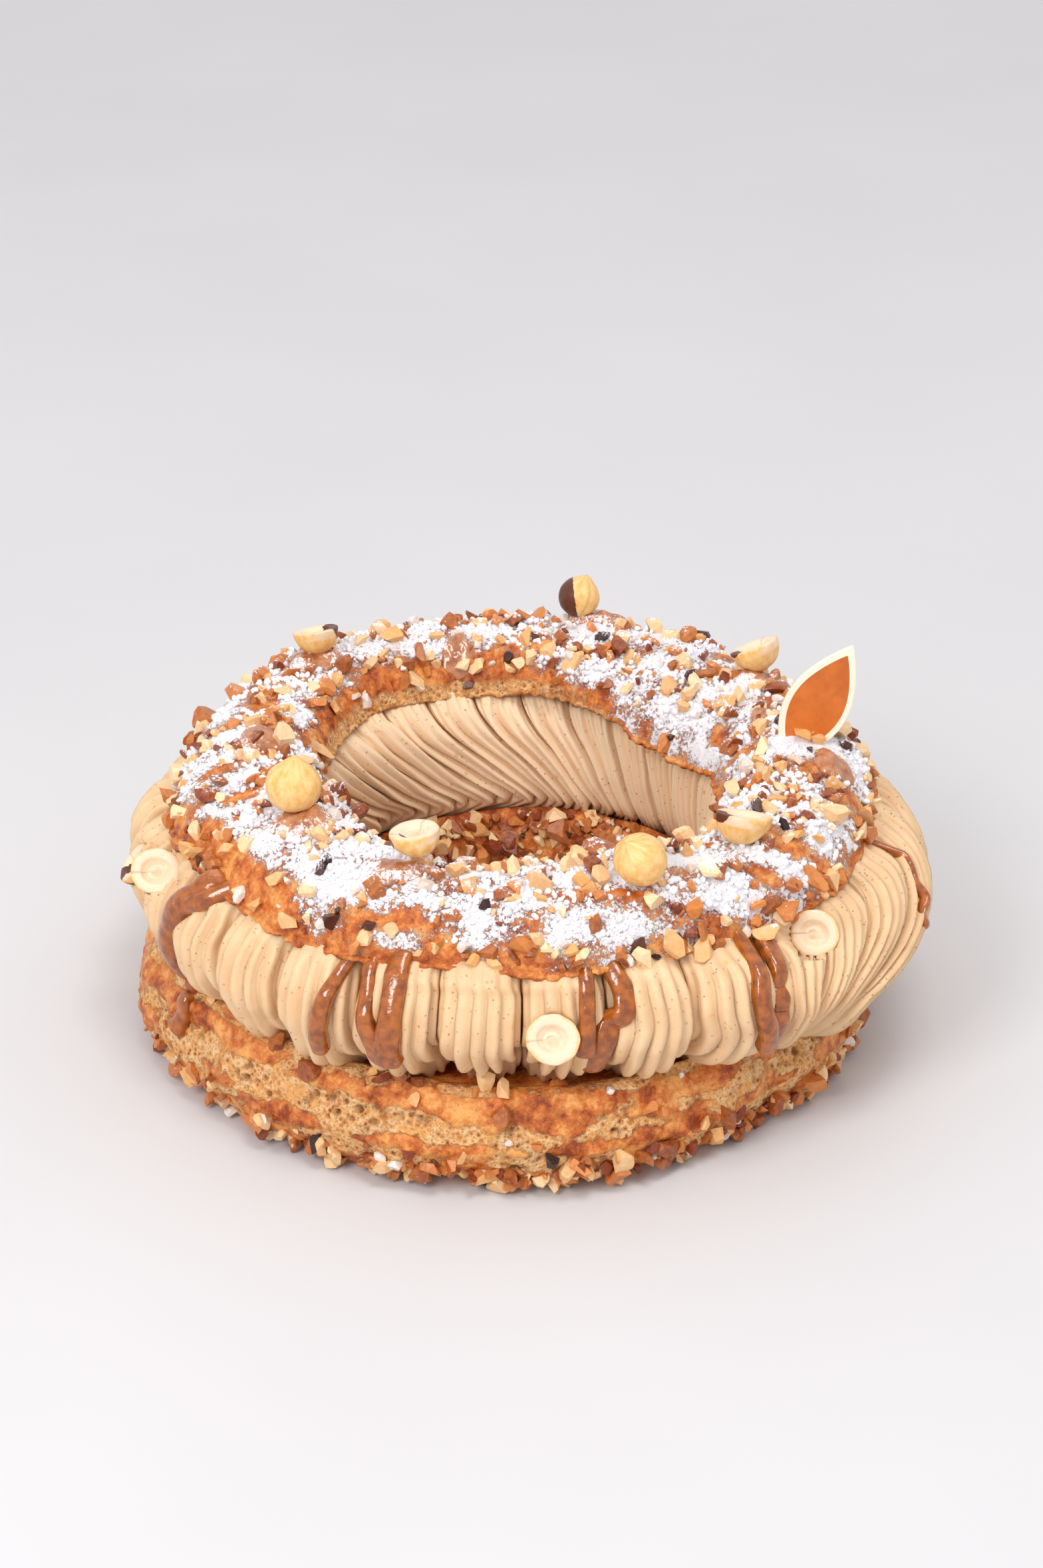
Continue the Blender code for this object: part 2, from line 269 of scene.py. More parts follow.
def sheet_of(name: str, points: Array, values: dict[str, Array]) -> bpy.types.Object:
    """A grid primitive shaped into a surface, with its seams merged.

    Args:
        name: The piece's name.
        points: Places in millimetres, (rows, columns, 3). A closed way round repeats its first place.
        values: Numbers for the finish, each (rows, columns).

    Returns:
        The new piece.
    """
    deselect()
    rows, columns = points.shape[:2]
    bpy.ops.mesh.primitive_grid_add(x_subdivisions=columns - 1, y_subdivisions=rows - 1, size=1)
    piece = bpy.context.object
    piece.name = piece.data.name = name
    write_points(piece, points.reshape(-1, 3))
    write_values(piece, values)
    close_up(piece)
    piece.data.shade_smooth()
    return piece


def wrap(grid: Array) -> Array:
    """A grid with its first column and then its first row repeated at the end."""
    wide = np.concatenate([grid, grid[:, :1]], axis=1)
    return np.concatenate([wide, wide[:1]], axis=0)


def ring_of(name: str, points: Array, values: dict[str, Array]) -> bpy.types.Object:
    """A closed ring from places (rows, columns, 3) that go once round both ways."""
    return sheet_of(name, wrap(points), {key: wrap(grid) for key, grid in values.items()})


def dress(piece: bpy.types.Object, finish: bpy.types.Material, slot: str | None, *nodes: str) -> None:
    """Gives a finished piece its finish and its place in the frame.

    Args:
        piece: The piece.
        finish: Its material.
        slot: The record's material slot that it belongs to, if any. It is not used.
        nodes: The CAD nodes that it stands for.
    """
    piece.data.materials.clear()
    piece.data.materials.append(finish)
    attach(piece, BODY)
    if nodes:
        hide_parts(*nodes)
    LOG.info("%s: %d faces", piece.name, len(piece.data.polygons))


def tree_of(piece: bpy.types.Object) -> BVHTree:
    """A search tree of a piece's faces."""
    mesh = piece.data
    return BVHTree.FromPolygons([v.co.copy() for v in mesh.vertices], [p.vertices[:] for p in mesh.polygons])


def cast(tree: BVHTree, start: Array, way: Array) -> Hit:
    """Where a ray meets a surface.

    Args:
        tree: The surface.
        start: Where the ray starts, in millimetres.
        way: Its direction.

    Returns:
        The place in millimetres and the normal, or None.
    """
    place, normal, _, _ = tree.ray_cast(Vector(start * MM), Vector(way))
    return None if place is None else (np.array(place) / MM, np.array(normal))


def from_outside(tree: BVHTree, angle: float, height: float) -> Hit:
    """The outermost place on a ring at an angle and a height, and the normal there."""
    start = round_ring(np.array(FAR), np.array(angle), np.array(height))
    return cast(tree, start, -start * np.array([1, 1, 0]) / FAR)


# ---- finishes ----


def srgb(red: int, green: int, blue: int) -> tuple[float, float, float, float]:
    """Turns a colour as it looks on a screen into the linear one that a shader takes.

    Args:
        red: Red, 0 to 255.
        green: Green, 0 to 255.
        blue: Blue, 0 to 255.

    Returns:
        Linear red, green and blue, and 1 for opaque.
    """
    parts = [c / 255 for c in (red, green, blue)]
    linear = [c / 12.92 if c <= 0.04045 else ((c + 0.055) / 1.055) ** 2.4 for c in parts]
    return (*linear, 1.0)


class Recipe:
    """Builds one material's nodes."""

    def __init__(self, name: str, roughness: float, **constants: float | tuple) -> None:
        """Starts a Principled material.

        Args:
            name: The material's name.
            roughness: Its roughness, where that isn't linked later.
            constants: Other sockets' values, with underscores for spaces.
        """
        self.material = bpy.data.materials.new(name)
        self.material.use_nodes = True
        self.tree = self.material.node_tree
        self.shader = self.tree.nodes["Principled BSDF"]
        self.shader.inputs["Roughness"].default_value = roughness
        for key, value in constants.items():
            self.shader.inputs[key.replace("_", " ")].default_value = value
        self.place = self.tree.nodes.new("ShaderNodeTexCoord").outputs["Object"]

    def link(self, source: Socket, target: Socket) -> None:
        """Links two sockets."""
        self.tree.links.new(source, target)

    def feed(self, node: bpy.types.Node, key: str | int, value: Fed) -> None:
        """Links a socket to a node's input, or sets that input to a value.

        Args:
            node: The node.
            key: The input's name or number.
            value: The socket or the value.
        """
        if isinstance(value, Socket):
            self.link(value, node.inputs[key])
        else:
            node.inputs[key].default_value = value

    def value(self, name: str) -> Socket:
        """Reads a number that each vertex carries.

        Args:
            name: The number's name.

        Returns:
            Its socket.
        """
        node = self.tree.nodes.new("ShaderNodeAttribute")
        node.attribute_name = name
        return node.outputs["Fac"]

    def grain(
        self,
        size: float,
        detail: float = 2.0,
        rough: float = 0.5,
        where: Socket | None = None,
        squash: tuple[float, float, float] | None = None,
    ) -> Socket:
        """Noise from 0 to 1.

        Args:
            size: How far apart its hills are, in millimetres, or in the units of where.
            detail: How many finer layers it has.
            rough: How strong they are.
            where: Coordinates other than the piece's own.
            squash: How much each axis is slowed, so that the hills are longer along it.

        Returns:
            The noise's socket.
        """
        node = self.tree.nodes.new("ShaderNodeTexNoise")
        source = where or self.place
        if squash:
            mapping = self.tree.nodes.new("ShaderNodeMapping")
            mapping.inputs["Scale"].default_value = squash
            self.link(source, mapping.inputs["Vector"])
            source = mapping.outputs[0]
        self.link(source, node.inputs["Vector"])
        node.inputs["Scale"].default_value = 1 / (size * MM) if where is None else 1 / size
        node.inputs["Detail"].default_value = detail
        node.inputs["Roughness"].default_value = rough
        return node.outputs["Fac"]

    def cells(self, size: float) -> Socket:
        """The distance to the nearest of scattered points.

        Args:
            size: How far apart the points are, in millimetres.

        Returns:
            The distance's socket.
        """
        node = self.tree.nodes.new("ShaderNodeTexVoronoi")
        self.link(self.place, node.inputs["Vector"])
        node.inputs["Scale"].default_value = 1 / (size * MM)
        return node.outputs["Distance"]

    def math(self, operation: str, a: Fed, b: Fed) -> Socket:
        """One Math node.

        Args:
            operation: What it does.
            a: The first number.
            b: The second number.

        Returns:
            The result's socket.
        """
        node = self.tree.nodes.new("ShaderNodeMath")
        node.operation = operation
        self.feed(node, 0, a)
        self.feed(node, 1, b)
        return node.outputs[0]

    def plus(self, a: Fed, b: Fed) -> Socket:
        """The sum of two numbers."""
        return self.math("ADD", a, b)

    def times(self, a: Fed, b: Fed) -> Socket:
        """The product of two numbers."""
        return self.math("MULTIPLY", a, b)

    def sway(self, noise_socket: Socket, reach: float) -> Socket:
        """Noise brought about nought, from minus half a reach to half of it."""
        return self.times(self.math("SUBTRACT", noise_socket, 0.5), reach)

    def between(self, value: Fed, low: float, high: float) -> Socket:
        """Rises smoothly from 0 to 1.

        Args:
            value: What is read.
            low: Where it leaves 0.
            high: Where it reaches 1.

        Returns:
            The result's socket.
        """
        node = self.tree.nodes.new("ShaderNodeMapRange")
        node.interpolation_type = "SMOOTHSTEP"
        self.feed(node, "Value", value)
        self.feed(node, "From Min", low)
        self.feed(node, "From Max", high)
        return node.outputs["Result"]

    def blend(self, share: Fed, a: Fed, b: Fed) -> Socket:
        """Mixes two colours.

        Args:
            share: How much of the second one shows.
            a: The first colour.
            b: The second colour.

        Returns:
            The mixed colour's socket.
        """
        node = self.tree.nodes.new("ShaderNodeMix")
        node.data_type = "RGBA"
        self.feed(node, 0, share)
        self.feed(node, 6, a)
        self.feed(node, 7, b)
        return node.outputs[2]

    def ramp(self, share: Socket, stops: Sequence[tuple[float, tuple]]) -> Socket:
        """A colour that follows a number through stops.

        Args:
            share: The number.
            stops: Each stop's place, 0 to 1, and its colour.

        Returns:
            The colour's socket.
        """
        node = self.tree.nodes.new("ShaderNodeValToRGB")
        self.link(share, node.inputs[0])
        band = node.color_ramp
        while len(band.elements) < len(stops):
            band.elements.new(0.5)
        for element, (place, colour) in zip(band.elements, stops):
            element.position = place
            element.color = colour
        return node.outputs["Color"]

    def relief(self, height: Socket, depth: float, under: Socket | None = None) -> Socket:
        """Bump, over other bump if that is given.

        Args:
            height: Its height, about 0 to 1.
            depth: How deep that is, in millimetres.
            under: The normal of the bump below it.

        Returns:
            The normal's socket.
        """
        node = self.tree.nodes.new("ShaderNodeBump")
        node.inputs["Strength"].default_value = 1.0
        node.inputs["Distance"].default_value = depth * MM
        self.link(height, node.inputs["Height"])
        if under is not None:
            self.link(under, node.inputs["Normal"])
        return node.outputs["Normal"]

    def done(
        self, colour: Socket, normal: Socket | None = None, roughness: Socket | None = None
    ) -> bpy.types.Material:
        """Links what was made to the shader.

        Args:
            colour: The base colour.
            normal: The bump's normal, if there is bump.
            roughness: The roughness, where it isn't one value.

        Returns:
            The material.
        """
        self.link(colour, self.shader.inputs["Base Color"])
        if normal is not None:
            self.link(normal, self.shader.inputs["Normal"])
        if roughness is not None:
            self.link(roughness, self.shader.inputs["Roughness"])
        return self.material


@dataclass(frozen=True)
class SugarDust:
    """Icing sugar that lies on a finish where the vertices say so."""

    white: tuple = srgb(246, 243, 247)

    def over(self, r: Recipe, colour: Socket) -> tuple[Socket, Socket]:
        """Dusts a colour.

        Args:
            r: The material's nodes.
            colour: What lies under the sugar.

        Returns:
            The dusted colour, and how much sugar lies there.
        """
        fine = r.sway(r.grain(0.95, 6.0, 0.78), 2.6)
        cover = r.between(r.plus(r.value("sugar"), fine), 0.36, 0.62)
        return r.blend(cover, colour, self.white), cover


@dataclass(frozen=True)
class CrustFinish:
    """Baked choux: brown crust, pale porous crumb where it is torn, with painted shade in its pores, and
    icing sugar.
    """

    dark: tuple = srgb(142, 58, 22)
    brown: tuple = srgb(206, 112, 48)
    gold: tuple = srgb(238, 168, 92)
    # Painted shade: the dark brown painted into the crumb's pores.
    pore_shade: tuple = srgb(128, 68, 28)
    crumb_dark: tuple = srgb(206, 136, 76)
    crumb: tuple = srgb(240, 196, 142)

    def make(self, name: str) -> bpy.types.Material:
        """Builds the material.

        Args:
            name: The material's name.

        Returns:
            The material.
        """
        r = Recipe(name, 0.55, Specular_IOR_Level=0.35)
        patches = r.times(r.grain(5.0, 9.0, 0.72), 2.4)
        baked = r.plus(r.math("SUBTRACT", patches, 0.7), r.times(r.value("baked"), 0.5))
        crust = r.ramp(baked, [(0.18, self.gold), (0.5, self.brown), (0.8, self.dark)])
        holes = r.math("MINIMUM", r.cells(1.7), r.plus(r.cells(0.8), 0.12))
        fibres = r.grain(0.55, 3.0, 0.6, squash=(1.0, 1.0, 0.28))
        # Painted shade: the crumb is painted darker towards the middle of each hole, mixed with its fibres.
        open_crumb = r.ramp(
            r.plus(r.times(holes, 0.75), r.times(fibres, 0.42)),
            [(0.26, self.pore_shade), (0.40, self.crumb_dark), (0.66, self.crumb)],
        )
        amber = r.between(r.grain(4.5, 5.0, 0.7), 0.46, 0.62)
        open_crumb = r.blend(r.times(amber, 0.75), open_crumb, self.gold)
        edge = r.plus(r.value("crumb"), r.sway(r.grain(2.2, 5.0, 0.7), 1.3))
        torn = r.between(edge, 0.3, 0.75)
        # Painted shade: the crumb is darkened further where its vertices lie down in a pore.
        open_crumb = r.blend(r.value("pore_shade"), open_crumb, self.pore_shade)
        colour, sugar = SugarDust().over(r, r.blend(torn, crust, open_crumb))
        rough = r.plus(0.30, r.times(r.math("MAXIMUM", sugar, torn), 0.55))
        bumps = r.relief(r.grain(1.5, 5.0, 0.66), 0.6)
        bumps = r.relief(r.times(r.plus(holes, r.times(fibres, 0.7)), torn), 0.6, bumps)
        bumps = r.relief(r.times(r.grain(0.45, 3.0, 0.7), sugar), 0.35, bumps)
        return r.done(colour, bumps, rough)


@dataclass(frozen=True)
class CreamFinish:
    """Praline buttercream with fine flecks of nut, with painted shade in its crevices and painted light
    inside the hole.
    """

    light: tuple = srgb(233, 199, 157)
    body: tuple = srgb(223, 183, 139)
    # Painted light: the paler cream that the inside of the hole is lightened towards.
    pale: tuple = srgb(252, 224, 190)
    # Painted shade: the dark brown that the crevices between ropes and between ridges are painted with.
    crevice_shade_colour: tuple = srgb(158, 98, 52)
    fleck: tuple = srgb(150, 84, 40)
    amber: tuple = srgb(232, 176, 84)

    def make(self) -> bpy.types.Material:
        """Builds the material.

        Returns:
            The material.
        """
        r = Recipe(
            "praline_cream_dressed",
            0.42,
            Specular_IOR_Level=0.4,
            Subsurface_Weight=0.12,
            Subsurface_Scale=0.002,
            Subsurface_Radius=(1.0, 0.6, 0.35),
        )
        tint = r.ramp(r.grain(9.0, 3.0), [(0.3, self.body), (0.7, self.light)])
        # Painted light: the cream on the leaves inside the hole is lightened towards pale, where it lies in
        # shade.
        tint = r.blend(r.times(r.value("inside"), 0.8), tint, self.pale)
        # Painted shade: each vertex is painted towards dark brown by how far down a crevice it lies.
        crevice_shade = r.between(r.value("crevice_shade"), 0.15, 1.0)
        colour = r.blend(crevice_shade, tint, self.crevice_shade_colour)
        few = r.times(r.between(r.cells(1.9), 0.17, 0.1), r.between(r.grain(5.0), 0.42, 0.6))
        colour = r.blend(r.times(few, 0.75), colour, self.fleck)
        spots = r.times(r.between(r.cells(7.0), 0.12, 0.06), 0.7)
        colour = r.blend(spots, colour, self.amber)
        bubbles = r.times(r.between(r.cells(2.6), 0.14, 0.07), -1.0)
        bumps = r.relief(r.grain(0.9, 4.0, 0.6), 0.10)
        bumps = r.relief(bubbles, 0.25, bumps)
        return r.done(colour, bumps)


@dataclass(frozen=True)
class HazelnutFinish:
    """A blanched hazelnut: streaked golden flesh, rings on a cut face, and shreds of brown skin."""

    pale: tuple = srgb(244, 202, 138)
    gold: tuple = srgb(232, 174, 94)
    heart: tuple = srgb(220, 180, 140)
    cut: tuple = srgb(240, 214, 184)
    ring: tuple = srgb(232, 200, 164)
    skin: tuple = srgb(96, 48, 28)

    def make(self) -> bpy.types.Material:
        """Builds the material.

        Returns:
            The material.
        """
        r = Recipe(
            "hazelnut_dressed",
            0.38,
            Specular_IOR_Level=0.4,
            Subsurface_Weight=0.08,
            Subsurface_Scale=0.0015,
            Subsurface_Radius=(1.0, 0.6, 0.3),
        )
        join = r.tree.nodes.new("ShaderNodeCombineXYZ")
        r.link(r.value("around"), join.inputs[0])
        r.link(r.times(r.value("along"), 0.12), join.inputs[1])
        r.link(r.value("which"), join.inputs[2])
        streaks = r.grain(0.05, 3.0, 0.6, join.outputs[0])
        outside = r.ramp(streaks, [(0.35, self.gold), (0.62, self.pale)])
        rings = r.plus(r.value("off_axis"), r.sway(r.grain(2.6, 4.0), 0.42))
        face = r.ramp(
            rings,
            [
                (0.05, self.heart),
                (0.24, self.cut),
                (0.36, self.ring),
                (0.48, self.cut),
                (0.82, self.cut),
                (0.95, self.ring),
            ],
        )
        colour = r.blend(r.value("cut_face"), outside, face)
        ragged = r.plus(r.value("skin"), r.sway(r.grain(1.6, 3.0), 0.7))
        skinned = r.between(ragged, 0.5, 0.62)
        colour = r.blend(skinned, colour, self.skin)
        bumps = r.relief(streaks, 0.16)
        bumps = r.relief(skinned, 0.3, bumps)
        return r.done(colour, bumps)


@dataclass(frozen=True)
class PralineFinish:
    """Glossy praline paste."""

    name: str = "praline_drip"
    light: tuple = srgb(178, 94, 20)
    dark: tuple = srgb(130, 62, 8)

    def make(self) -> bpy.types.Material:
        """Builds the material.

        Returns:
            The material.
        """
        r = Recipe(self.name, 0.16, Specular_IOR_Level=0.6, Coat_Weight=0.5, Coat_Roughness=0.06)
        paste = r.ramp(r.grain(2.4, 3.0), [(0.35, self.dark), (0.65, self.light)])
        colour, sugar = SugarDust().over(r, paste)
        bumps = r.relief(r.grain(2.6, 2.0, 0.5), 0.30)
        return r.done(colour, bumps, r.plus(0.14, r.times(sugar, 0.6)))


class BitKind(Enum):
    """What a chopped bit is made of: its light and dark colours, roughness and subsurface weight."""

    PALE_NUT = (srgb(246, 216, 172), srgb(226, 168, 102), 0.45, 0.1)
    CARAMEL_NUT = (srgb(218, 136, 70), srgb(128, 54, 26), 0.28, 0.0)
    BURNT_NUT = (srgb(110, 60, 40), srgb(48, 26, 22), 0.3, 0.0)
    SUGAR_GRAIN = (srgb(240, 230, 224), srgb(224, 206, 192), 0.25, 0.3)

    @property
    def title(self) -> str:
        """The kind's name as a piece's name carries it."""
        return self.name.lower()


@dataclass(frozen=True)
class BitFinish:
    """Chopped nuts or coarse sugar, each bit in a shade of its own."""

    kind: BitKind

    def make(self) -> bpy.types.Material:
        """Builds the material.

        Returns:
            The material.
        """
        light, dark, roughness, glow = self.kind.value
        r = Recipe(
            f"{self.kind.title}_bits",
            roughness,
            Specular_IOR_Level=0.45,
            Subsurface_Weight=glow,
            Subsurface_Scale=0.0015,
        )
        shade = r.plus(r.times(r.grain(1.6, 3.0), 0.6), r.times(r.value("tone"), 0.7))
        paint = r.ramp(shade, [(0.3, light), (0.95, dark)])
        colour, _ = SugarDust().over(r, paint)
        bumps = r.relief(r.grain(0.7, 3.0, 0.6), 0.18)
        return r.done(colour, bumps)


@dataclass(frozen=True)
class PlainFinish:
    """A smooth even finish with a faint mottle, for clumps of icing sugar."""

    name: str
    colour: tuple
    roughness: float
    mottle: float = 0.06
    relief: float = 0.04

    def make(self) -> bpy.types.Material:
        """Builds the material.

        Returns:
            The material.
        """
        r = Recipe(self.name, self.roughness, Specular_IOR_Level=0.45)
        darker = tuple(part * (1 - self.mottle * 3) for part in self.colour[:3]) + (1.0,)
        paint = r.ramp(r.grain(2.0, 3.0), [(0.3, darker), (0.7, self.colour)])
        return r.done(paint, r.relief(r.grain(0.8, 2.0), self.relief))


@dataclass(frozen=True)
class PlaqueFinish:
    """Two chocolates: an ivory rim round an amber field."""

    ivory: tuple = srgb(244, 234, 212)
    amber: tuple = srgb(212, 114, 40)
    amber_dark: tuple = srgb(194, 96, 30)

    def make(self) -> bpy.types.Material:
        """Builds the material.

        Returns:
            The material.
        """
        r = Recipe("leaf_chocolate", 0.32, Specular_IOR_Level=0.45)
        fill = r.ramp(r.grain(5.0, 4.0, 0.6), [(0.35, self.amber_dark), (0.65, self.amber)])
        colour = r.blend(r.between(r.value("field"), 0.35, 0.65), self.ivory, fill)
        return r.done(colour, r.relief(r.grain(0.9, 2.0), 0.03))


# ---- the choux lid ----


@dataclass
class ChouxLid:
    """The upper crust: a torn ring, domed and rough, under sugar."""

    outer: float = 92.0
    hole: float = 52.5
    edge_z: float = 62.0
    hole_edge_z: float = 66.0
    crown: float = 13.2
    edge_thickness: float = 1.7
    crown_thickness: float = 5.5
    columns: int = 900
    top_rows: int = 58
    under_rows: int = 12
    dents: Features = (
        (45, -8.5, 25),
        (105, 2.0, 22),
        (130, 5.5, 26),
        (-35, 5.0, 14),
        (-115, 3.5, 14),
        (-158, -3.5, 16),
        (-95, -2.0, 18),
        (-72, -2.5, 14),
    )
    flap: Features = ((24, 4.6, 22),)
    # How far the front edge draws in, and how far it lifts: centre, millimetres, width.
    front_in: Features = ((-97, -2.2, 20),)
    front_up: Features = ((-97, 0.9, 20),)
    height_waves: Features = ((2, 0.5, 40), (5, 0.5, 10), (9, 0.35, 70))
    radius_waves: Features = ((3, 0.7, 20), (8, 0.6, 95), (13, 0.4, 5))
    # Where crust shows through the sugar: angle, how bare, width, for the outer half of the lid's width.
    bare_outside: Features = ((-147, 0.85, 17), (-112, 0.25, 12), (60, 0.3, 40), (125, 0.3, 35))
    # The same for the slope into the hole.
    bare_inside: Features = ((150, 0.85, 28), (100, 0.55, 24))
    # Where sugar lies thicker, where it reaches the lip of the hole, and where that lip isn't torn.
    drifts: Features = ((-140, 0.22, 18), (-108, 0.20, 12))
    sugared_lip: Features = ((25, 0.9, 45),)
    whole_lip: Features = ((25, 0.85, 45),)
    # Where the lip of the hole is torn most.
    torn_lip: Features = ((150, 0.35, 40), (95, 0.3, 30))
    tree: BVHTree | None = None

    def radii(self, angle: Array) -> tuple[Array, Array]:
        """The hole's radius and the outer radius at each angle."""
        outer = self.outer + waves(angle, self.radius_waves) + bump(angle, self.front_in)
        return self.hole + bump(angle, self.dents), outer

    def height(self, share: Array, angle: Array) -> tuple[Array, Array]:
        """Shapes the section.

        Args:
            share: How far from the hole's edge to the outer edge, 0 to 1.
            angle: Angles in degrees.

        Returns:
            The heights of the top and of the underside.
        """
        leaning = np.clip(share, 0, 1) ** (1 + bump(angle, ((-88, 0.32, 48),)))
        crown = np.clip(1 - np.abs(2 * leaning - 1) ** 2.6, 0, None) ** 0.7
        top = mix(self.hole_edge_z, self.edge_z, share) + self.crown * crown + waves(angle, self.height_waves)
        top = top - bump(angle, self.flap) * (1 - share) ** 3 + bump(angle, self.front_up) * share**4
        return top, top - mix(self.edge_thickness, self.crown_thickness, crown)

    def sugar_at(self, points: Array) -> Array:
        """How much icing sugar lies on the lid.

        Args:
            points: Places on or over the lid, (..., 3).

        Returns:
            From 0 where it is bare to 1 where it is white, (...).
        """
        angle = np.degrees(np.arctan2(points[..., 1], points[..., 0]))
        inner, outer = self.radii(angle)
        share = (np.hypot(points[..., 0], points[..., 1]) - inner) / (outer - inner)
        amount = 0.62 + 0.55 * noise(points * np.array([0.55, 1.0, 1.0]), 5.5, 31, 3)
        amount = amount - bump(angle, self.bare_outside) * step_up(share, 0.80, 0.95)
        amount = amount + bump(angle, self.drifts) * step_up(share, 0.93, 0.78)
        amount = amount - bump(angle, self.bare_inside) * step_up(share, 0.20, 0.03)
        amount = amount - 0.35 * step_up(share, 0.94, 1.0)
        amount = amount - 0.4 * (1 - bump(angle, self.sugared_lip)) * step_up(share, 0.06, 0.0)
        return np.clip(amount, 0, 1)

    def lip(self, rim: Array, top: Array, half: Array, swell: float, turns: Sequence[float]) -> Array:
        """Rounds an edge off between the top and the underside.

        Args:
            rim: The edge's radius, (columns,).
            top: The height of the top there, (columns,).
            half: Half the thickness there, (columns,).
            swell: How far the edge bulges outward, as a share of that half, or inward if negative.
            turns: The slopes of its rows, in degrees.

        Returns:
            Places, (rows, columns, 3).
        """
        angle = np.linspace(-180, 180, self.columns, endpoint=False)[None, :]
        slopes = [np.radians(turn) for turn in turns]
        radii = np.array([rim + half * np.cos(slope) * swell for slope in slopes])
        heights = np.array([top - half + half * np.sin(slope) for slope in slopes])
        return round_ring(radii, angle, heights)

    def build(self) -> bpy.types.Object:
        """Shapes the ring.

        Returns:
            The lid.
        """
        angle = np.linspace(-180, 180, self.columns, endpoint=False)[None, :]
        spread = np.linspace(0, pi, self.top_rows)
        shares = (0.5 - 0.5 * np.cos(spread))[:, None]
        back = np.linspace(1, 0, self.under_rows + 2)[1:-1, None]
        inner, outer = self.radii(angle)
        probe = round_ring(np.full_like(angle, 70.0), angle, 0.0)
        fine = round_ring(np.full_like(angle, 180.0), angle, 0.0)
        inner = inner + 1.1 * noise(probe, 7.0, 3, 3) + 0.35 * noise(fine, 3.2, 4, 2)
        outer = outer + 0.8 * noise(probe, 9.0, 5, 3) + 0.5 * noise(fine, 4.0, 6, 2)
        top, under = self.height(shares, angle)
        radius_top = mix(inner, outer, shares)
        _, low = self.height(back, angle)
        radius_low = mix(inner, outer, back)

        rough = round_ring(radius_top, angle, top)
        sugar = self.sugar_at(rough)
        calm = 0.3 + 0.7 * step_up(np.minimum(shares, 1 - shares), 0.0, 0.05)
        top = top + calm * (0.85 * noise(rough, 6.5, 7, 2) + 0.45 * noise(rough, 2.3, 9, 2))
        top = top + calm * step_up(sugar, 0.35, 0.8) * (0.30 + 0.30 * noise(rough, 1.7, 12, 2))
        low_rough = round_ring(radius_low, angle, low)
        low = low + 0.3 * noise(low_rough, 3.0, 14, 2)

        half = 0.5 * (top[-1] - self.height(np.ones_like(angle), angle)[1][0])
        half = half * (1.05 + 0.25 * noise(fine[0], 9.0, 18, 2))
        outer_edge = self.lip(outer[0], top[-1], half, 1.1, (50.0, 0.0, -50.0))
        outer_edge = outer_edge + 0.35 * noise(outer_edge, 1.9, 17, 2)[..., None]
        half = 0.5 * (top[0] - self.height(np.zeros_like(angle), angle)[1][0])
        inner_edge = self.lip(inner[0], top[0], half, -1.3, (-50.0, 0.0, 50.0))
        inner_edge = inner_edge + 0.3 * noise(inner_edge, 1.8, 16, 2)[..., None]

        points = np.concatenate(
            [round_ring(radius_top, angle, top), outer_edge, round_ring(radius_low, angle, low), inner_edge]
        )
        lip_rows = len(inner_edge)
        crumb = np.zeros(points.shape[:2])
        clean = 1 - bump(angle, self.whole_lip)
        crumb[-lip_rows:] = (0.75 + 0.35 * noise(inner_edge, 6.0, 21)) * clean
        torn = 0.55 + bump(angle, self.torn_lip) + 0.25 * noise(rough, 5.0, 22, 2)
        crumb[: self.top_rows] = torn * step_up(shares, 0.05, 0.0) * clean
        crumb[self.top_rows + lip_rows : -lip_rows] = 0.35
        dust = np.zeros(points.shape[:2])
        dust[: self.top_rows] = sugar
        baked = 0.25 * noise(points, 14.0, 23, 2)
        values = {"sugar": dust, "crumb": crumb, "baked": baked, "pore_shade": 0 * crumb}
        lid = ring_of("choux_lid_crust", points, values)
        self.tree = tree_of(lid)
        return lid

    def surface_at(self, x: float, y: float) -> Hit:
        """The highest place on the lid over a point in plan, and the normal there."""
        return cast(self.tree, np.array([x, y, 130.0]), np.array([0.0, 0.0, -1.0]))


# ---- the piped cream ----


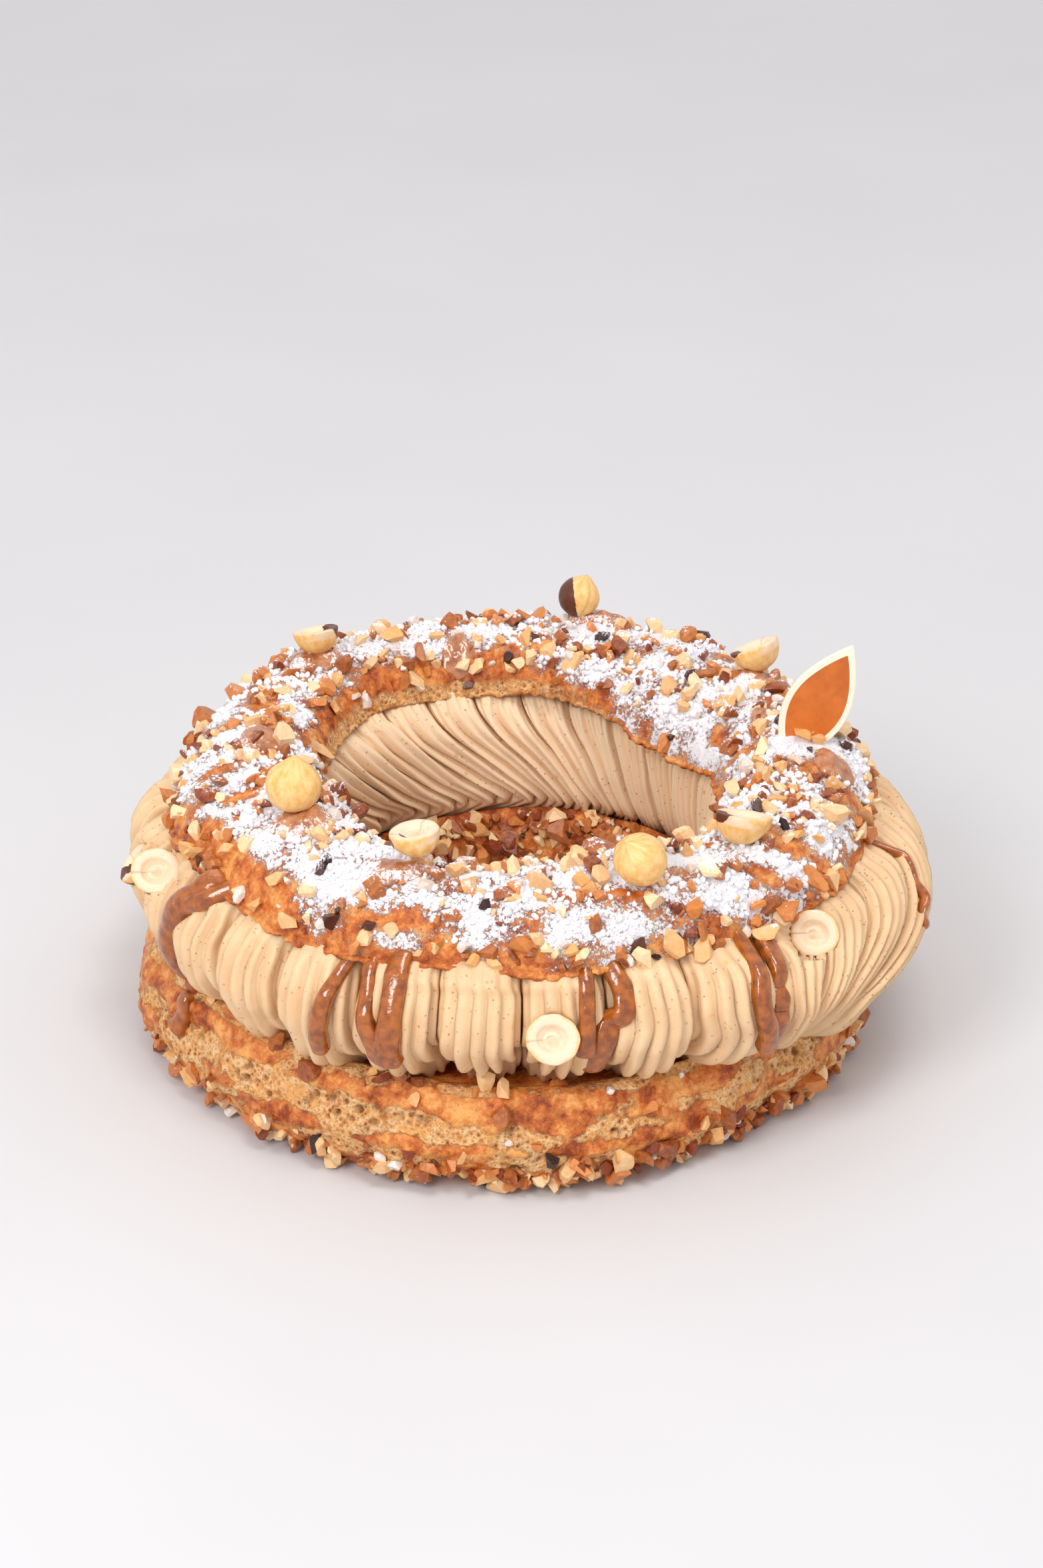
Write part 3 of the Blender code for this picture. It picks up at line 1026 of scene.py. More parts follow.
@dataclass
class CreamRing:
    """Praline cream piped as a coil of ropes through a star tip."""

    ropes: int = 28
    per_rope: int = 42
    outer: float = 101.0
    inner: float = 52.0
    middle: tuple[float, float] = (77.0, 46.0)
    groove: float = 14.5
    pleat: float = 2.9
    # Where the ring swells outward, in millimetres.
    bulges: Features = ((-33, 8.0, 26), (5, 2.5, 20), (92, 2.4, 34), (175, 3.0, 26), (-88, -2.0, 30))
    # How far the foot of its front draws in over the base: centre, millimetres, width.
    tuck: Features = ((-92, -4.5, 17),)
    # Where the coil turns away to the right and its ropes run together: centre, share, width.
    swirl: Features = ((-14, 0.8, 27),)
    # Where the ropes inside the hole are ridged like those outside.
    fan: Features = ((32, 1.0, 26),)
    # How many degrees of a rope's round one ridge takes.
    ridge: float = 22.0
    rows: Sequence[int] = (3, 3, 5, 8, 9, 9, 9, 8, 3, 2, 3, 9, 9, 4)
    tree: BVHTree | None = None

    def envelope(self, angle: Array, lid: ChouxLid) -> Array:
        """Shapes the section that the crests reach.

        Args:
            angle: Angles in degrees, (columns,).
            lid: The lid that presses on the cream.

        Returns:
            Knots of radius and height, (14, columns, 2).
        """
        out = bump(angle, self.bulges)
        flat = np.zeros_like(angle)
        inner, outer = lid.radii(angle)
        knots = []
        for radius, height in ((56.0, 62.5), (63.0, 66.5), (80.0, 67.0)):
            share = np.clip((radius - inner) / (outer - inner), 0, 1)
            roof = lid.height(share, angle)[1] - 0.6
            knots.append((flat + radius, np.minimum(height, roof)))
        knots.append((flat + 92.8, lid.height(flat + 1.0, angle)[0] - 1.2))
        knots += [
            (96.5 + 0.65 * out, flat + 57.0),
            (self.outer - 1.0 + 0.95 * out, flat + 50.5),
            (self.outer - 0.5 + out, flat + 42.5),
            (97.0 + 0.75 * out + 0.6 * bump(angle, self.tuck), flat + 35.5),
            (90.0 + 0.4 * out + bump(angle, self.tuck), flat + 31.4),
            (flat + 80.0, flat + 26.1),
            (flat + 62.0, flat + 26.1),
            (flat + 54.5, flat + 32.2),
            (flat + self.inner, flat + 42.0),
            (flat + self.inner + 0.8, flat + 54.0),
        ]
        return np.array([np.stack([r, z], axis=-1) for r, z in knots])

    def phase_shift(self, angle: Array) -> tuple[Array, Array]:
        """How far the ropes lean.

        Args:
            angle: Angles in degrees.

        Returns:
            How many ropes the coil slips by at the foot of its inside, and at the foot of its outside.
        """
        turn = (angle + 180) % 360 - 180
        inside = 2.5 * step_up(turn, 30, 95) * (turn > -60) + 2.5 * step_up(turn, -60, -180) * (turn <= -60)
        outside = 3.9 * step_up(turn, -52, -33)
        outside = outside * (1 - np.clip((turn + 33) / 98, 0, 1))
        return inside, outside

    def strip(self, place: Array, valley: Array) -> Array:
        """The height across overlapping rounded strips.

        Args:
            place: How many strips along, so that a strip's free edge is at each whole number.
            valley: Where between two free edges the lowest line lies.

        Returns:
            From 0 in the valleys to 1 at the free edges.
        """
        share = place % 1.0
        falling = 1 - np.clip(share / valley, 0, 1) ** 2
        rising = 1 - np.clip((1 - share) / (1 - valley), 0, 1) ** 2
        return np.where(share < valley, falling, rising)

    def ridges(self, tilt: Array, leafy: Array, fan: Array) -> Array:
        """The height of the ridges that the star tip leaves along a rope.

        Args:
            tilt: How far round its rope each column is, in degrees, (1, columns).
            leafy: How far the rope is a leaf, as inside the hole, (rows, 1).
            fan: How far such a leaf is ridged like the outside, (1, columns).

        Returns:
            From -0.5 in the valleys to 0.5 at the crests, (rows, columns).
        """
        lean = np.clip((18 - tilt) / 25, -1, 1)
        strips = self.strip(tilt / self.ridge, 0.5 + 0.2 * lean) * step_up(np.abs(tilt), 76, 56)
        leaves = 0.9 * self.strip(tilt / 78.0 + 0.5, 0.74) + 0.45 * self.strip(tilt / 31.0, 0.55)
        return mix(strips, mix(leaves, strips, fan), leafy) - 0.5

    def build(self, lid: ChouxLid, nuts: Sequence["Hazelnut"]) -> bpy.types.Object:
        """Shapes the coil.

        Args:
            lid: The lid that presses on it.
            nuts: Nuts pressed into it.

        Returns:
            The cream.
        """
        columns = self.ropes * self.per_rope
        fine_angle = np.linspace(-180, 180, 3600, endpoint=False)
        knots = self.envelope(fine_angle, lid)

        # At each knot of the section: how much of each slip it takes, how deep the grooves between the
        # ropes are, how much of the ridges shows, and how far the ropes are leaves as inside the hole.
        inside_share = np.array([0, 0, 0, 0, 0, 0, 0, 0, 0, 0, 0.5, 1.0, 0.62, 0.16])
        outside_share = np.array([0, 0, 0, 0, 0.06, 0.22, 0.5, 0.85, 1.0, 0.5, 0, 0, 0, 0])
        depth = np.array([0.6, 0.2, 0.1, 0.6, 0.85, 1.0, 1.0, 1.05, 0.9, 0, 0, 0.8, 0.9, 0.85])
        shown = np.array([0.45, 0.1, 0.05, 0.25, 0.85, 1.0, 1.0, 1.0, 0.9, 0.2, 0.2, 0.8, 1.0, 1.0])
        leafy = np.array([0.6, 0, 0, 0, 0, 0, 0, 0, 0, 0, 0.5, 1.0, 1.0, 1.0])
        section = smooth_line(knots, self.rows)
        inside_share = smooth_line(inside_share, self.rows)[:, None]
        outside_share = smooth_line(outside_share, self.rows)[:, None]
        depth = np.clip(smooth_line(depth, self.rows), 0, 2)[:, None]
        shown = np.clip(smooth_line(shown, self.rows), 0, 1)[:, None]
        leafy = np.clip(smooth_line(leafy, self.rows), 0, 1)[:, None]
        rows = len(section)

        slip_in, slip_out = self.phase_shift(fine_angle)
        turn_phase = fine_angle / 360 * self.ropes
        tilt = np.linspace(-78, 78, self.per_rope, endpoint=False)[None, :]
        rope = np.repeat(np.arange(self.ropes), self.per_rope)[None, :]
        tilt = np.tile(tilt, (1, self.ropes))
        wander = np.stack(
            [rope * 7.0 + 0 * depth, np.arange(rows)[:, None] / 9.0 + 0 * rope, 0 * depth + 0 * rope], axis=-1
        )
        rope_angle = rope * 360 / self.ropes - 180
        crest = self.ridges(tilt, leafy, bump(rope_angle, self.fan))
        strength = self.pleat * (0.95 + 0.3 * noise(wander, 0.8, 45)) * mix(1.0, 1.3, leafy) * shown
        strength = strength * (1 + 0.8 * bump(rope_angle, self.swirl) * (1 - leafy))
        petal = np.sin(pi * ((tilt / self.ridge + 0.5) % 1.0)) * step_up(np.abs(tilt), 70, 40)

        # Where each column lies across its rope, from -1 to 1, and so how many ropes round it is.
        lateral = np.clip(np.sin(np.radians(tilt)) / np.sin(np.radians(67)), -0.988, 0.988)
        lump = np.cos(np.radians(tilt))
        half_width = pi * 95 / self.ropes
        lateral = lateral + strength * crest * np.sin(np.radians(tilt)) / half_width * (np.abs(tilt) < 60)
        lateral = np.clip(lateral + (0.10 + 0.10 * leafy) * lump * noise(wander, 1.1, 41), -0.99, 0.99)
        phase = rope + 0.5 + 0.5 * lateral - self.ropes / 2

        angle = np.zeros((rows, columns))
        radius = np.zeros_like(angle)
        height = np.zeros_like(angle)
        for row in range(rows):
            line = turn_phase + slip_in * inside_share[row] + slip_out * outside_share[row]
            wide = np.concatenate([line - self.ropes, line, line + self.ropes])
            around = np.concatenate([fine_angle - 360, fine_angle, fine_angle + 360])
            angle[row] = np.interp(phase[row], wide, around)
            spot = (angle[row] + 180) % 360 - 180
            radius[row] = np.interp(spot, fine_angle, section[row, :, 0], period=360)
            height[row] = np.interp(spot, fine_angle, section[row, :, 1], period=360)

        # The grooves, ridges and swells draw each place towards the middle of the section, or push it out.
        turned = bump(angle, self.swirl) * (1 - leafy)
        draw = np.random.default_rng(5)
        swell = draw.normal(0, 0.8, self.ropes)[rope] * lump
        hang = draw.normal(0, 1.1, self.ropes)[rope] * lump
        dip = self.groove * depth * mix(1.0, 0.42, leafy) * (1 - 0.8 * np.clip(turned, 0, 1))
        foot = step_up(section[..., 1].mean(axis=1), 38.0, 32.0)[:, None] * (1 - leafy)
        inward = dip * 0.8 * (1.26 * (1 - lump)) ** 1.3 - strength * crest * (1 - 0.55 * foot)
        inward = inward - swell * np.clip(depth, 0, 1)
        to_middle = np.stack([self.middle[0] - radius, self.middle[1] - height], axis=-1)
        to_middle /= np.linalg.norm(to_middle, axis=-1, keepdims=True)
        radius = radius + inward * to_middle[..., 0]
        height = height + inward * to_middle[..., 1]
        hanging = step_up(height, 40.0, 32.0) * (1 - leafy)
        height = height - (hang + 1.5 * petal + 8.5 * (lump - 0.75)) * hanging
        points = round_ring(radius, angle, height)
        ragged = 0.16 * noise(points, 1.4, 47, 2) * np.clip(crest + 0.3, 0, 1)
        ragged = ragged + 0.18 * noise(points, 5.0, 49)
        points = points + round_ring(ragged, angle, 0.0) * np.array([1, 1, 0])
        for nut in nuts:
            points = nut.press_into(points)
        # Painted shade: how far each vertex is painted dark brown, in the grooves between ropes and in the
        # valleys between ridges.
        crevice_shade = np.clip((1 - lump) * 3.0 - 1.75, 0, 1) * np.clip(depth, 0, 1) * (1 - 0.6 * turned)
        valley = np.clip(-0.05 - crest, 0, 1) * shown * (np.abs(tilt) < 66) * (1 - 0.2 * leafy)
        crevice_shade = crevice_shade + (1.7 + 0.7 * turned) * valley
        # inside: how far painted light lightens the cream on the leaves inside the hole.
        values = {"crevice_shade": np.clip(crevice_shade, 0, 1), "inside": leafy * step_up(radius, 66.0, 58.0)}
        cream = ring_of("piped_cream", points, values)
        self.tree = tree_of(cream)
        return cream

    def surface_at(self, angle: float, height: float) -> Hit:
        """The outermost place on the cream at an angle and a height, and the normal there."""
        return from_outside(self.tree, angle, height)


# ---- the choux base ----


@dataclass
class ChouxBase:
    """The lower crust: a baked trough whose outside shows crust and torn crumb."""

    inner: float = 46.0
    rim_z: float = 29.8
    floor_z: float = 25.5
    columns: int = 940
    rows: Sequence[int] = (7, 13, 16, 14, 8, 4, 3, 6, 4, 4, 6, 8, 5, 3, 3)
    bulges: Features = ((-170, 3.5, 30), (-78, 1.5, 25), (-45, -2.0, 18))
    shape_waves: Features = ((3, 0.7, 20), (8, 0.6, 95), (13, 0.4, 5), (1, 3.2, 198))
    rim_waves: Features = ((2, 0.175, 40), (5, 0.175, 10), (9, 0.1225, 70))
    # Where the rim dips in front, and where the outside draws in below it.
    rim_dip: Features = ((-92, -0.9, 22),)
    tuck: Features = ((-100, 1.0, 50),)
    # Lines round the outside: the radius, how far it draws in at the front, and the height.
    outside: Features = (
        (86.5, 3.5, 0.0),
        (92.7, 2.3, 3.5),
        (96.0, 0.8, 10.0),
        (95.7, 0.6, 18.0),
        (92.7, 0.3, 25.0),
    )
    # Where the crust is whole and its torn crumb shows less.
    whole: Features = ((-48, 0.2, 30), (-165, 0.15, 25), (60, 0.5, 80), (160, 0.3, 50))
    tree: BVHTree | None = None

    def surface_at(self, angle: float, height: float) -> Hit:
        """The outermost place on the base at an angle and a height, and the normal there."""
        return from_outside(self.tree, angle, height)

    def build(self) -> bpy.types.Object:
        """Shapes the ring.

        Returns:
            The base.
        """
        angle = np.linspace(-180, 180, self.columns, endpoint=False)
        out = bump(angle, self.bulges) + waves(angle, self.shape_waves)
        rim = self.rim_z - 0.5 + waves(angle, self.rim_waves) + bump(angle, self.rim_dip)
        flat = np.zeros_like(angle)
        tuck = bump(angle, self.tuck)
        knots = [(radius + out - inward * tuck, flat + height) for radius, inward, height in self.outside]
        knots += [
            (90.0 + out, rim),
            (flat + 88.0, rim - 0.8),
            (flat + 84.5, flat + self.floor_z),
            (flat + 58.0, flat + self.floor_z),
            (flat + 55.5, rim - 0.6),
            (52.5 - 0.2 * out, rim),
            (47.5 - 0.2 * out, flat + 23.0),
            (self.inner - 0.2 * out, flat + 12.0),
            (47.5 - 0.2 * out, flat + 3.5),
            (51.0 - 0.2 * out, flat),
        ]
        knots = np.array([np.stack([r, z], axis=-1) for r, z in knots])
        section = smooth_line(knots, self.rows)
        radius, height = section[..., 0], np.clip(section[..., 1], 0, None)
        rows = len(section)
        angles = np.tile(angle, (rows, 1))
        points = round_ring(radius, angles, height)

        middle = np.array([72.0, 14.0])
        way = np.stack([radius - middle[0], height - middle[1]], axis=-1)
        way /= np.linalg.norm(way, axis=-1, keepdims=True)
        outer_side = step_up(radius, 86.0, 90.0)
        wavy = height + 3.0 * noise(points * np.array([1.0, 1.0, 0.3]), 26.0, 60, 3)
        strips = 0.95 * np.exp(-(((wavy - 24.5) / 2.6) ** 2)) + 0.55 * np.exp(-(((wavy - 13.0) / 2.4) ** 2))
        strips = strips + 0.8 * np.exp(-(((wavy - 3.5) / 3.5) ** 2))
        bands = 0.9 * noise(points * np.array([0.55, 0.55, 1.1]), 8.0, 61, 3) + 0.62 - strips
        bands = bands - bump(angles, self.whole)
        torn = step_up(bands + 0.25 * noise(points, 2.4, 63, 2), -0.35, 0.45) * outer_side
        edge = outer_side * np.exp(-(((height - 29.6) / 1.1) ** 2)) * step_up(radius, 87.5, 89.0)
        torn = np.clip(np.maximum(torn * step_up(height, 1.0, 5.0), 1.1 * edge), 0, 1)
        crowd = step_up(noise(points, 11.0, 64, 2), -0.3, 0.5)
        holes = step_up(pores(points, 4.2, 65), 0.40, 0.16) * crowd
        holes = holes + 0.75 * step_up(pores(points, 2.2, 71), 0.42, 0.18) * crowd
        skin = 1.0 * noise(points, 9.0, 67, 2) + 0.5 * noise(points, 2.6, 69, 2)
        ledge = 0.9 * np.clip(strips, 0, 1) * outer_side
        relief = skin + ledge - 0.7 * outer_side - torn * (0.3 + 1.5 * holes)
        quiet = step_up(height, 0.2, 3.0)
        points = points + round_ring(way[..., 0] * relief * quiet, angles, 0.0) * np.array([1, 1, 0])
        points[..., 2] += way[..., 1] * relief * quiet
        points[..., 2] = np.clip(points[..., 2], 0, None)
        top = step_up(height, 26.0, 28.5) * step_up(radius, 84.0, 89.0)
        baked = 0.3 * noise(points, 12.0, 73, 2) + 0.12 * top + 0.15 * (radius < 60) - 0.06
        # Painted shade: how dark the crumb is painted where it lies down in its pores.
        pore_shade = np.clip(holes * torn, 0, 1) * 0.8
        values = {"crumb": torn, "baked": baked, "sugar": 0 * torn, "pore_shade": pore_shade}
        base = ring_of("choux_base_crust", points, values)
        self.tree = tree_of(base)
        return base


# ---- hazelnuts ----


@dataclass
class Hazelnut:
    """One blanched hazelnut, whole or halved, where the CAD node is."""

    node: str
    half: bool
    facing: tuple[float, float, float]
    size: float
    # Where shreds of skin cling: a direction from the nut's middle, and how far round they reach.
    skin_side: tuple[float, float, float] = (0.0, 0.0, -1.0)
    skin_reach: float = 0.0
    seed: int = 1
    radius: float = 7.0
    width: float = 0.95
    # From the rim of a cut face to its middle, as shares of the radius: how wide and how high each step is.
    steps: Sequence[tuple[float, float]] = (
        (0.10, 0.012),
        (0.26, -0.02),
        (0.12, -0.16),
        (0.16, -0.06),
        (0.12, 0.05),
    )

    @property
    def turn(self) -> Array:
        """The rotation from the nut's own frame, (3, 3)."""
        return np.array(Vector(self.facing).to_track_quat("Z", "Y").to_matrix())

    @property
    def place(self) -> Array:
        """The middle of the nut, read off the CAD node's mesh."""
        points = np.unique(np.round(read_points(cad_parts[self.node]), 3), axis=0)
        axis = self.turn[:, 2]
        top = (0.06 if self.half else 1.05) * self.radius * self.size
        middle = points.mean(axis=0)
        return middle + axis * (np.max(points @ axis) - top - middle @ axis)

    def press_into(self, points: Array) -> Array:
        """Pushes cream back out of the nut's way.

        Args:
            points: The cream's places, (..., 3).

        Returns:
            The places, with a pocket for the nut.
        """
        axis = self.turn[:, 2]
        apart = points - self.place
        along = apart @ axis
        across = np.linalg.norm(apart - along[..., None] * axis, axis=-1)
        reach = self.radius * self.size * 0.97
        back = -np.sqrt(np.clip(reach**2 - across**2, 0, None)) * 0.9
        pushed = (across < reach) & (along > back) & (np.linalg.norm(apart, axis=-1) < 3.0 * reach)
        return np.where(pushed[..., None], points + (back - along)[..., None] * axis, points)

    def halve(self, nut: bpy.types.Object, reach: float) -> None:
        """Cuts a nut that is open in edit mode, and hollows the cut face.

        Args:
            nut: The nut.
            reach: Its radius in metres.
        """
        bpy.ops.mesh.bisect(
            plane_co=(0, 0, 0.06 * reach), plane_no=(0, 0, 1), use_fill=True, clear_outer=True
        )
        bpy.ops.object.mode_set(mode="OBJECT")
        for face in nut.data.polygons:
            face.select = face.normal.z > 0.9 and face.center.z > 0
        for edge in nut.data.edges:
            edge.select = False
        bpy.ops.object.mode_set(mode="EDIT")
        bpy.ops.mesh.select_mode(type="FACE")
        for wide, high in self.steps:
            bpy.ops.mesh.inset(thickness=wide * reach, depth=high * reach)

    def soften(self, nut: bpy.types.Object) -> None:
        """Rounds the sharp edges of a halved nut."""
        bevel = nut.modifiers.new("soften", "BEVEL")
        bevel.width = 0.2 * MM
        bevel.segments = 2
        bevel.limit_method = "ANGLE"
        bevel.angle_limit = radians(30)
        bpy.ops.object.modifier_apply(modifier=bevel.name)

    def build(self) -> bpy.types.Object:
        """Shapes the nut from a sphere: cut, hollowed and smoothed if halved, pointed if whole.

        Returns:
            The nut.
        """
        deselect()
        reach = self.radius * self.size * MM
        bpy.ops.mesh.primitive_uv_sphere_add(segments=48, ring_count=28, radius=reach)
        nut = bpy.context.object
        nut.name = nut.data.name = self.node + "_flesh"
        edit(nut)
        bpy.ops.transform.resize(value=(0.97, 0.97 * self.width, 0.94))
        if self.half:
            self.halve(nut, reach)
        bpy.ops.object.mode_set(mode="OBJECT")
        points = read_points(nut) / (self.radius * self.size)
        around = np.arctan2(points[:, 1], points[:, 0])
        off_axis = np.hypot(points[:, 0], points[:, 1])
        if not self.half:
            tip = step_up(points[:, 2], 0.35, 0.94)
            points[:, 2] += 0.13 * tip * step_up(off_axis, 0.5, 0.0)
            points[:, :2] *= (1 - 0.07 * tip)[:, None]
        own = points * 7.0 + self.seed * 31.0
        rough = 0.06 if self.half else 0.03
        points *= (1 + rough * noise(own, 5.0, 81, 2) + 0.010 * np.cos(9 * around) * off_axis)[:, None]
        cut_face = ((points[:, 2] > -0.25) & (off_axis < 0.93)) if self.half else np.zeros(len(points))
        side = np.array(self.skin_side) / np.linalg.norm(self.skin_side)
        toward = points / np.linalg.norm(points, axis=1, keepdims=True) @ self.turn.T @ side
        skin = np.zeros(len(points))
        if self.skin_reach:
            skin = step_up(toward, 1.0 - self.skin_reach, 1.15 - self.skin_reach)
        write_points(nut, points * self.radius * self.size @ self.turn.T + self.place)
        values = {"around": around / (2 * pi), "along": points[:, 2], "off_axis": off_axis}
        values |= {"which": np.full(len(points), self.seed * 1.7), "cut_face": cut_face, "skin": skin}
        write_values(nut, values)
        if self.half:
            self.soften(nut)
        close_up(nut)
        deselect()
        nut.select_set(True)
        bpy.ops.object.shade_smooth_by_angle(angle=radians(45))
        return nut


@dataclass
class Hazelnuts:
    """Every whole or half hazelnut."""

    on_lid: Sequence[Hazelnut] = (
        Hazelnut("hazelnut_back", False, (0.35, 0.1, 0.93), 0.88, (-0.95, 0.0, -0.15), 0.9, 1),
        Hazelnut("hazelnut_back_left", True, (-0.15, 0.25, 0.95), 0.94, (0.8, 0.3, 0.35), 0.42, 2),
        Hazelnut("hazelnut_back_right", True, (-0.35, 0.25, 0.90), 1.02, (-0.9, -0.3, 0.2), 0.22, 3),
        Hazelnut("hazelnut_left", False, (0.05, 0.25, 0.97), 1.05, (0, 0, -1), 0.0, 4),
        Hazelnut("hazelnut_front_left", True, (-0.14, 0.08, 0.98), 0.97, (-0.9, -0.3, -0.3), 0.12, 5),
        Hazelnut("hazelnut_front", False, (-0.50, -0.30, 0.81), 1.03, (0, 0, -1), 0.0, 6),
        Hazelnut("hazelnut_right", True, (0.12, 0.30, 0.94), 1.07, (-0.8, -0.2, 0.45), 0.25, 7),
    )
    in_cream: Sequence[Hazelnut] = (
        Hazelnut("hazelnut_cream_right", True, (-0.10, -0.88, 0.46), 0.90, (0, 0, -1), 0.0, 8),
        Hazelnut("hazelnut_cream_front", True, (0.05, -0.85, 0.52), 0.98, (0, 0, -1), 0.0, 9),
        Hazelnut("hazelnut_cream_left", True, (0.05, -0.72, 0.69), 0.93, (0, 0, -1), 0.0, 10),
        Hazelnut("hazelnut_cream_far_left", True, (-0.75, -0.10, 0.65), 0.85, (0, 0, -1), 0.5, 11),
    )

    def build(self) -> None:
        """Builds and dresses them all."""
        finish = HazelnutFinish().make()
        for nut in (*self.on_lid, *self.in_cream):
            dress(nut.build(), finish, "hazelnut", nut.node)


# ---- praline ----


@dataclass
class Dollop:
    """A dollop of praline on the lid, where the CAD node is."""

    node: str
    middle: tuple[float, float]
    spread: tuple[float, float]
    height: float
    sunk: float = 0.5

    def build(self, lid: ChouxLid) -> bpy.types.Object:
        """Shapes the dollop from a sphere laid on the crust.

        Args:
            lid: What it lies on.

        Returns:
            The dollop.
        """
        deselect()
        bpy.ops.mesh.primitive_uv_sphere_add(segments=56, ring_count=30, radius=MM)
        piece = bpy.context.object
        piece.name = piece.data.name = self.node + "_paste"
        ball = read_points(piece)
        turn = np.arctan2(ball[:, 1], ball[:, 0])
        reach = np.hypot(ball[:, 0], ball[:, 1])
        edge = 1 + 0.12 * np.cos(3 * turn + self.middle[0]) + 0.05 * np.cos(7 * turn + self.middle[1])
        plan = np.array(self.middle) + np.array(self.spread) * ball[:, :2] * edge[:, None]
        places = []
        for (x, y), rise, off in zip(plan, ball[:, 2], reach):
            hit = lid.surface_at(x, y)
            while hit is None:
                x, y = x * 0.99, y * 0.99
                hit = lid.surface_at(x, y)
            ground = hit[0][2]
            dome = self.height * (1 - off**2.4) ** 0.8 if rise > 0 else -self.sunk
            places.append((x, y, ground + dome + 0.25 * (rise > 0)))
        points = np.array(places)
        lumps = 0.55 * noise(points, 3.2, 91, 2) * (ball[:, 2] > -0.2) * step_up(reach, 1.0, 0.6)
        points[:, 2] += lumps
        write_points(piece, points)
        sugar = np.clip(lid.sugar_at(points) - 0.32, 0, 1) * step_up(reach, 0.2, 0.9) * (ball[:, 2] > 0)
        write_values(piece, {"sugar": sugar})
        close_up(piece)
        piece.data.shade_smooth()
        return piece


@dataclass
class Drip:
    """A run of praline down the cream, along a path of angles and heights."""

    width: float
    path: Sequence[tuple[float, float]]
    thickness: float = 1.3
    bulb: float = 1.0
    on_base: bool = False


